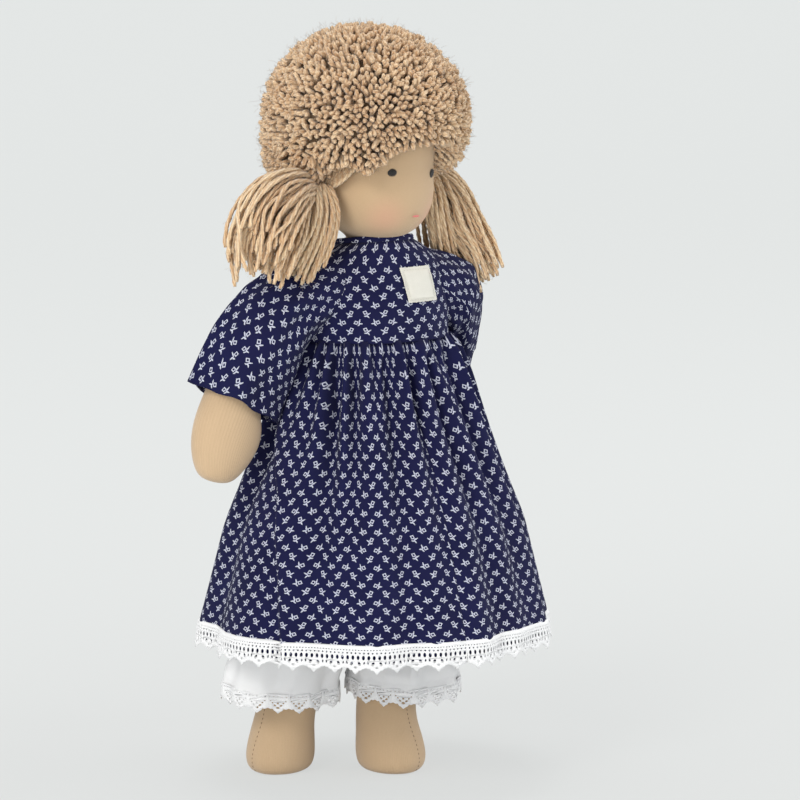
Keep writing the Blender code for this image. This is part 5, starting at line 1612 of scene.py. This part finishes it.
# Hollows between the folds: angle in degrees, half width in degrees, depth at the waist and hem
HOLLOWS = (
    (-141.0, 4.8, 0.0105, 0.0023),
    (-128.5, 4.0, 0.0092, 0.0008),
    (-108.0, 4.4, 0.0100, 0.0041),
    (-91.0, 4.0, 0.0096, 0.0017),
    (-73.0, 4.8, 0.0096, 0.0053),
    (-54.0, 5.2, 0.0112, 0.0026),
    (-35.0, 5.5, 0.0100, 0.0053),
    (-10.0, 6.3, 0.0108, 0.0044),
    (14.0, 5.5, 0.0088, 0.0023),
    (37.0, 6.3, 0.0090, 0.0053),
    (61.0, 5.5, 0.0084, 0.0026),
    (83.0, 6.3, 0.0094, 0.0053),
    (106.0, 5.5, 0.0084, 0.0023),
    (128.0, 6.3, 0.0090, 0.0050),
    (151.0, 5.5, 0.0084, 0.0026),
    (172.0, 5.5, 0.0090, 0.0047),
)
# The one sharp pleat on the right, by drop and angle: it hangs straight down
PLEAT = ((0.0, -196.0), (0.25, -181.0), (0.5, -163.5), (0.75, -156.0), (1.0, -151.5))
PLEAT_DEPTH, PLEAT_REACH = 0.0056, 13.0
DEEPEST_HOLLOW, WAIST_TUCK = 0.036, 0.0013
GATHERS = 24
STRIP_LENGTH, SKIRT_DROP, PRINT_SCALE = 0.60, 0.163, 0.92
skirt_table = smooth_table(SKIRT_SHARES)


def skirt_sizes(drop_share):
    """Half width and half depth of the skirt, without its folds."""
    width, depth = read_at(skirt_table, drop_share)
    a = BODICE_HALF_WIDTH + (SKIRT_HALF_WIDTH - BODICE_HALF_WIDTH) * width
    return a, BODICE_HALF_DEPTH + (SKIRT_HALF_DEPTH - BODICE_HALF_DEPTH) * depth


def gather_angle(angle):
    return angle + 0.09 * sin(3 * angle + 0.7) + 0.03 * sin(7 * angle)


def strip_at(angle, drop_share):
    """How far along the cut strip a place is: gathers and hollows take up what the skirt hides."""
    a, b = skirt_sizes(drop_share)
    shown = min(STRIP_LENGTH / (2 * pi), 1.08 * (a + b) / 2)
    hidden = STRIP_LENGTH / (2 * pi) - shown
    steps = 0.0
    for at, half, _, _ in HOLLOWS:
        away, turn = (degrees(angle) - at) / (0.9 * half), 400 / half
        steps += (tanh(away) + tanh(away - turn) + tanh(away + turn)) / 2
    steps *= 2 * pi / len(HOLLOWS)
    steps += (angle - steps) * min(1.0, 0.25 + drop_share)
    gathers = gather_angle(angle) - 0.9 * sin(GATHERS * gather_angle(angle)) / GATHERS
    fine = max(0.0, 1 - drop_share / 0.42)
    return shown * angle + hidden * (fine * gathers + (1 - fine) * steps)


def on_skirt(angle, drop_share):
    """A place on the skirt, with its folds."""
    t = held(drop_share)
    a, b = skirt_sizes(t)
    warp = gather_angle(angle)
    near = min(1.0, t / 0.035)
    fade = max(0.0, 1 - t / 0.42) ** 1.4
    gather = 0.0042 * cos(GATHERS * warp) + 0.0009 * cos(41 * warp + 2)
    gather *= (0.5 + 0.5 * near) * fade
    middle = near * max(0.0, 1 - abs(t - 0.24) / 0.30) * 0.0014 * cos(17 * warp + 1.1)
    swing = t * (0.0014 * cos(9 * angle + 0.4) + 0.0010 * cos(5 * angle + 2.0))
    off = 0.0042 * t**0.7 + 0.0022 * min(1.0, t / 0.14) * (1 - t) ** 2 + gather + middle + swing
    for at, half, deep, hem in HOLLOWS:
        away = ((degrees(angle) - at + 180) % 360 - 180) / (half * (0.8 + 0.6 * t))
        if abs(away) < 3:
            off -= min(1.0, t / 0.08) * (hem * t + deep * (1 - t)) * exp(-away * away)
    at = float(np.interp(t, *zip(*PLEAT)))
    away = (degrees(angle) - at + 180) % 360 - 180
    if abs(away) < 3 * PLEAT_REACH:
        edge = 1 / (1 + exp(-away / 0.5))
        off += min(1.0, t / 0.2) * PLEAT_DEPTH * (edge - 0.62) * exp(-((away / PLEAT_REACH) ** 2))
    off = max(off, -CLOTH - DEEPEST_HOLLOW * t)
    tuck = max(0.0, 1 - t / 0.012)
    off -= WAIST_TUCK * tuck
    z = WAIST_HEIGHT - 0.0003 - SKIRT_LENGTH * drop_share + 0.0016 * tuck
    return Vector((BODY_X + (a + off) * cos(angle), (b + off) * sin(angle), z))


SKIRT_COLUMNS, SKIRT_ROWS, UNDER_LACE = 480, 70, 1.052
HEM_UNIT_WIDTH = 10.4
outline = [(0, 1.4), (HEM_UNIT_WIDTH, 1.4), (HEM_UNIT_WIDTH, -9.6)]
outline += [(9.5, -10.3), (8.7, -10.0), (7.9, -11.2), (7.0, -11.0), (6.2, -12.2), (5.2, -13.2)]
outline += [(4.2, -12.2), (3.4, -11.0), (2.5, -11.2), (1.7, -10.0), (0.9, -10.3), (0, -9.6)]
holes = [oval(5.2, -9.6, 0.8, 0.62)]
# Rows of holes: how many, then each one's middle, half width and half height
HOLE_ROWS = ((7, -0.7, 0.42, 0.32, 0, 6), (5, -2.25, 0.50, 0.52, 0, 6), (4, -4.6, 0.74, 1.25))
for count, *hole in HOLE_ROWS:
    holes += [oval(HEM_UNIT_WIDTH * (i + 0.5) / count, *hole) for i in range(count)]
for way in (-1, 1):
    holes.append(oval(5.2 + way * 1.9, -7.7, 0.68, 1.15, way * 24))
    holes.append(oval(5.2 + way * 4.25, -7.3, 0.42, 0.9, way * -12, 6))
hem_unit = lace_unit(outline, holes)
for side, name in ((1, "left"), (-1, "right")):
    def lay(u, v):
        return on_skirt(-side * pi / 2 + pi * u, UNDER_LACE * v**0.9)

    cut = (STRIP_LENGTH / 2, SKIRT_DROP)
    half_skirt = cloth_of(
        f"skirt_{name}_cotton", SKIRT_COLUMNS // 2, SKIRT_ROWS, lay, cut, printed, False
    )
    for loop in half_skirt.data.uv_layers["cloth"].data:
        u, v = loop.uv.x / cut[0], -loop.uv.y / cut[1]
        strip = strip_at(-side * pi / 2 + pi * u, v**0.9)
        loop.uv = (PRINT_SCALE * strip, PRINT_SCALE * loop.uv.y)
    thickened(half_skirt)
    fitted(half_skirt, None, "print_cotton", "skirt")

    line = np.array([tuple(on_skirt(-side * pi / 2 + pi * i / 400, 1.0)) for i in range(401)])
    run = run_of(line)

    def hang_lace(share, drop):
        at = run[-1] * share
        spot = Vector([float(np.interp(at, run, line[:, k])) for k in range(3)])
        out = Vector((spot.x - BODY_X, spot.y, 0)).normalized()
        wave = 0.0008 * (1 + sin(2 * pi * share * 9 + side)) * max(drop, 0) / 0.012
        sunk = 0.0009 * held(-drop / 0.0014)
        return spot + out * (wave + 0.0006 - sunk) - Vector((0, 0, drop - 0.0002))

    hem_lace = lace_round(f"hem_lace_{name}", hem_unit, HEM_UNIT_WIDTH, HEM_REPEATS // 2, hang_lace)
    fitted(hem_lace, None, "cotton_lace", "hem_lace")
    for piece in (half_skirt, hem_lace):
        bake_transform(piece)
        for vert in piece.data.vertices:
            x, y, z = vert.co
            angle = atan2(y, x - BODY_X)
            aside = held((side * (x - BODY_X) - 0.0005) / 0.016)
            aside = aside * aside * (3 - 2 * aside)
bpy.data.objects.remove(hem_unit)


# What the cloth hides: the wool fillings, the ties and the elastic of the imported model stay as
# they are, with materials of their own.
stuffing, wire, shader = finish_named("wool_stuffing", (0.80, 0.76, 0.66), 1.0, 0.4)
sockets = {"Vector": wire.place(), "Scale": 260.0, "Detail": 5.0, "Distortion": 1.5}
fluff = wire.node("TexNoise", None, sockets)
tinted(shader, fluff, (0.68, 0.63, 0.53), (0.88, 0.85, 0.77))
bumped(shader, fluff, 0.8, 0.001)
elastic, wire, shader = finish_named("waist_casing", (0.80, 0.80, 0.82), 0.9)
weave = wire.noise(wire.place(), 1200.0, 2.0)
tinted(shader, weave, (0.72, 0.72, 0.74), (0.86, 0.86, 0.88))
bumped(shader, weave, 0.5, 0.0003)
for nodes, finish in (
    (("torso_stuffing", "head_core", "arm_stuffing_right"), stuffing),
    (("leg_stuffing_left", "leg_stuffing_right"), stuffing),
    (("eye_line_thread", "neck_tie"), white_thread),
    (("waist_elastic",), elastic),
):
    for node in nodes:
        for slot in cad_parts[node].material_slots:
            slot.material = finish


# The end: the scene is brought up to date.
bpy.context.view_layer.update()
